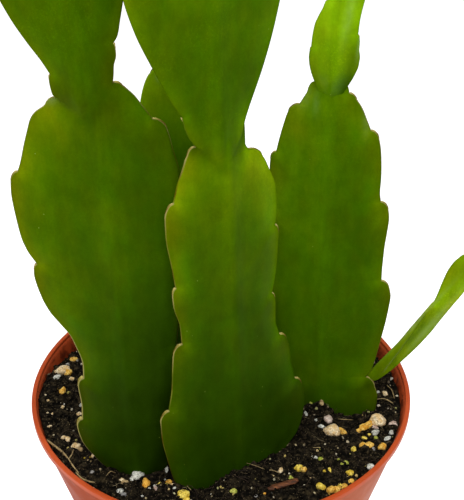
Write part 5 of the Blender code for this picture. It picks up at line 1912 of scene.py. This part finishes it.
def make_soil():
    tones = [(0.0, (5, 4, 2)), (0.5, (18, 15, 10)), (1.0, (46, 39, 27))]
    peat = peat_finish("peat", tones)
    crumb = peat_finish("peat_crumb", [(0.0, (6, 5, 3)), (0.5, (24, 20, 14)), (1.0, (62, 53, 36))])
    bed = finished(shown("soil_bed", soil_mesh()), peat, "potting_mix", "soil")
    tree = scatter_tree()
    # Name, finish, shapes, how many to a square millimetre, sizes, tilt, lifts and seed
    layers = (
        ("peat_crumbs", crumb, crumb_shapes(5, 2, 0.75), 0.20, (1.0, 2.4), 0.6, (-0.5, 0.35), 3),
        ("peat_crumbs_fine", crumb, crumb_shapes(5, 1, 0.8), 0.70, (0.45, 1.0), 1.0, (-0.1, 0.5), 5),
        ("grit", grit_finish(), crumb_shapes(4, 2, 0.8), 0.06, (0.25, 0.8), 1.0, (0.15, 0.6), 7),
        ("fibres_dark", fibre_finish("dark_fibre", (16, 11, 8), (64, 47, 34)),
         fibre_shapes(6, 0.12, 4), 0.08, (0.4, 1.1), 0.22, (0.1, 0.7), 9),
        ("fibres_pale", fibre_finish("pale_fibre", (120, 100, 70), (196, 176, 134)),
         fibre_shapes(5, 0.11, 4), 0.02, (0.25, 0.65), 0.3, (0.2, 0.7), 13),
    )
    for name, finish, shapes, per_mm2, sizes, tilt, lifts, seed in layers:
        values = {
            "Shapes": shapes,
            "Density": per_mm2 / MM**2,
            "Smallest": sizes[0],
            "Largest": sizes[1],
            "Tilt": tilt,
            "Lowest": lifts[0] * MM,
            "Highest": lifts[1] * MM,
            "Seed": seed,
        }
        scattered(name, tree, bed, finish, values)
    make_grains()
    make_bark()
    make_straws()


# Stage


def make_camera():
    data = bpy.data.cameras.new("camera")
    data.sensor_width = CAMERA_SENSOR
    data.lens = CAMERA_LENS
    data.clip_start = NEAREST_SEEN
    camera = shown("camera", data)
    camera.location = Vector(CAMERA_PLACE) * MM
    camera.rotation_euler = (math.radians(CAMERA_TILT), 0.0, 0.0)
    bpy.context.scene.camera = camera


def make_light(name, place, size, power):
    data = bpy.data.lights.new(name, "AREA")
    data.shape = "DISK"
    data.size = size
    data.energy = power
    lamp = shown(name, data)
    lamp.location = place
    aim = Vector(LAMPS_AIM_AT) - Vector(place)
    lamp.rotation_euler = aim.to_track_quat("-Z", "Y").to_euler()


def make_stage():
    world = bpy.data.worlds.new("studio")
    world.use_nodes = True
    background = world.node_tree.nodes["Background"]
    background.inputs["Color"].default_value = (1.0, 1.0, 1.0, 1.0)
    background.inputs["Strength"].default_value = WORLD_LIGHT
    bpy.context.scene.world = world
    for lamp in LAMPS:
        make_light(*lamp)
    corners = [(FLOOR_REACH * x, FLOOR_REACH * y, 0.0) for x, y in ((-1, -1), (1, -1), (1, 1), (-1, 1))]
    floor = shown("floor", mesh_from("floor", corners, [(0, 1, 2, 3)]))
    paper = Finish("pale_floor", 0.9, 0.2)
    paper.set("Base Color", paper.mix(paper.noise(60.0, 2.0), (238, 238, 238), (244, 244, 244)))
    paper.set("Emission Color", (1.0, 1.0, 1.0, 1.0))
    paper.set("Emission Strength", FLOOR_GLOW)
    floor.data.materials.append(paper.material)
    bpy.context.scene.view_settings.view_transform = "Standard"


make_camera()
make_stage()
make_pot()
make_soil()
make_stems()
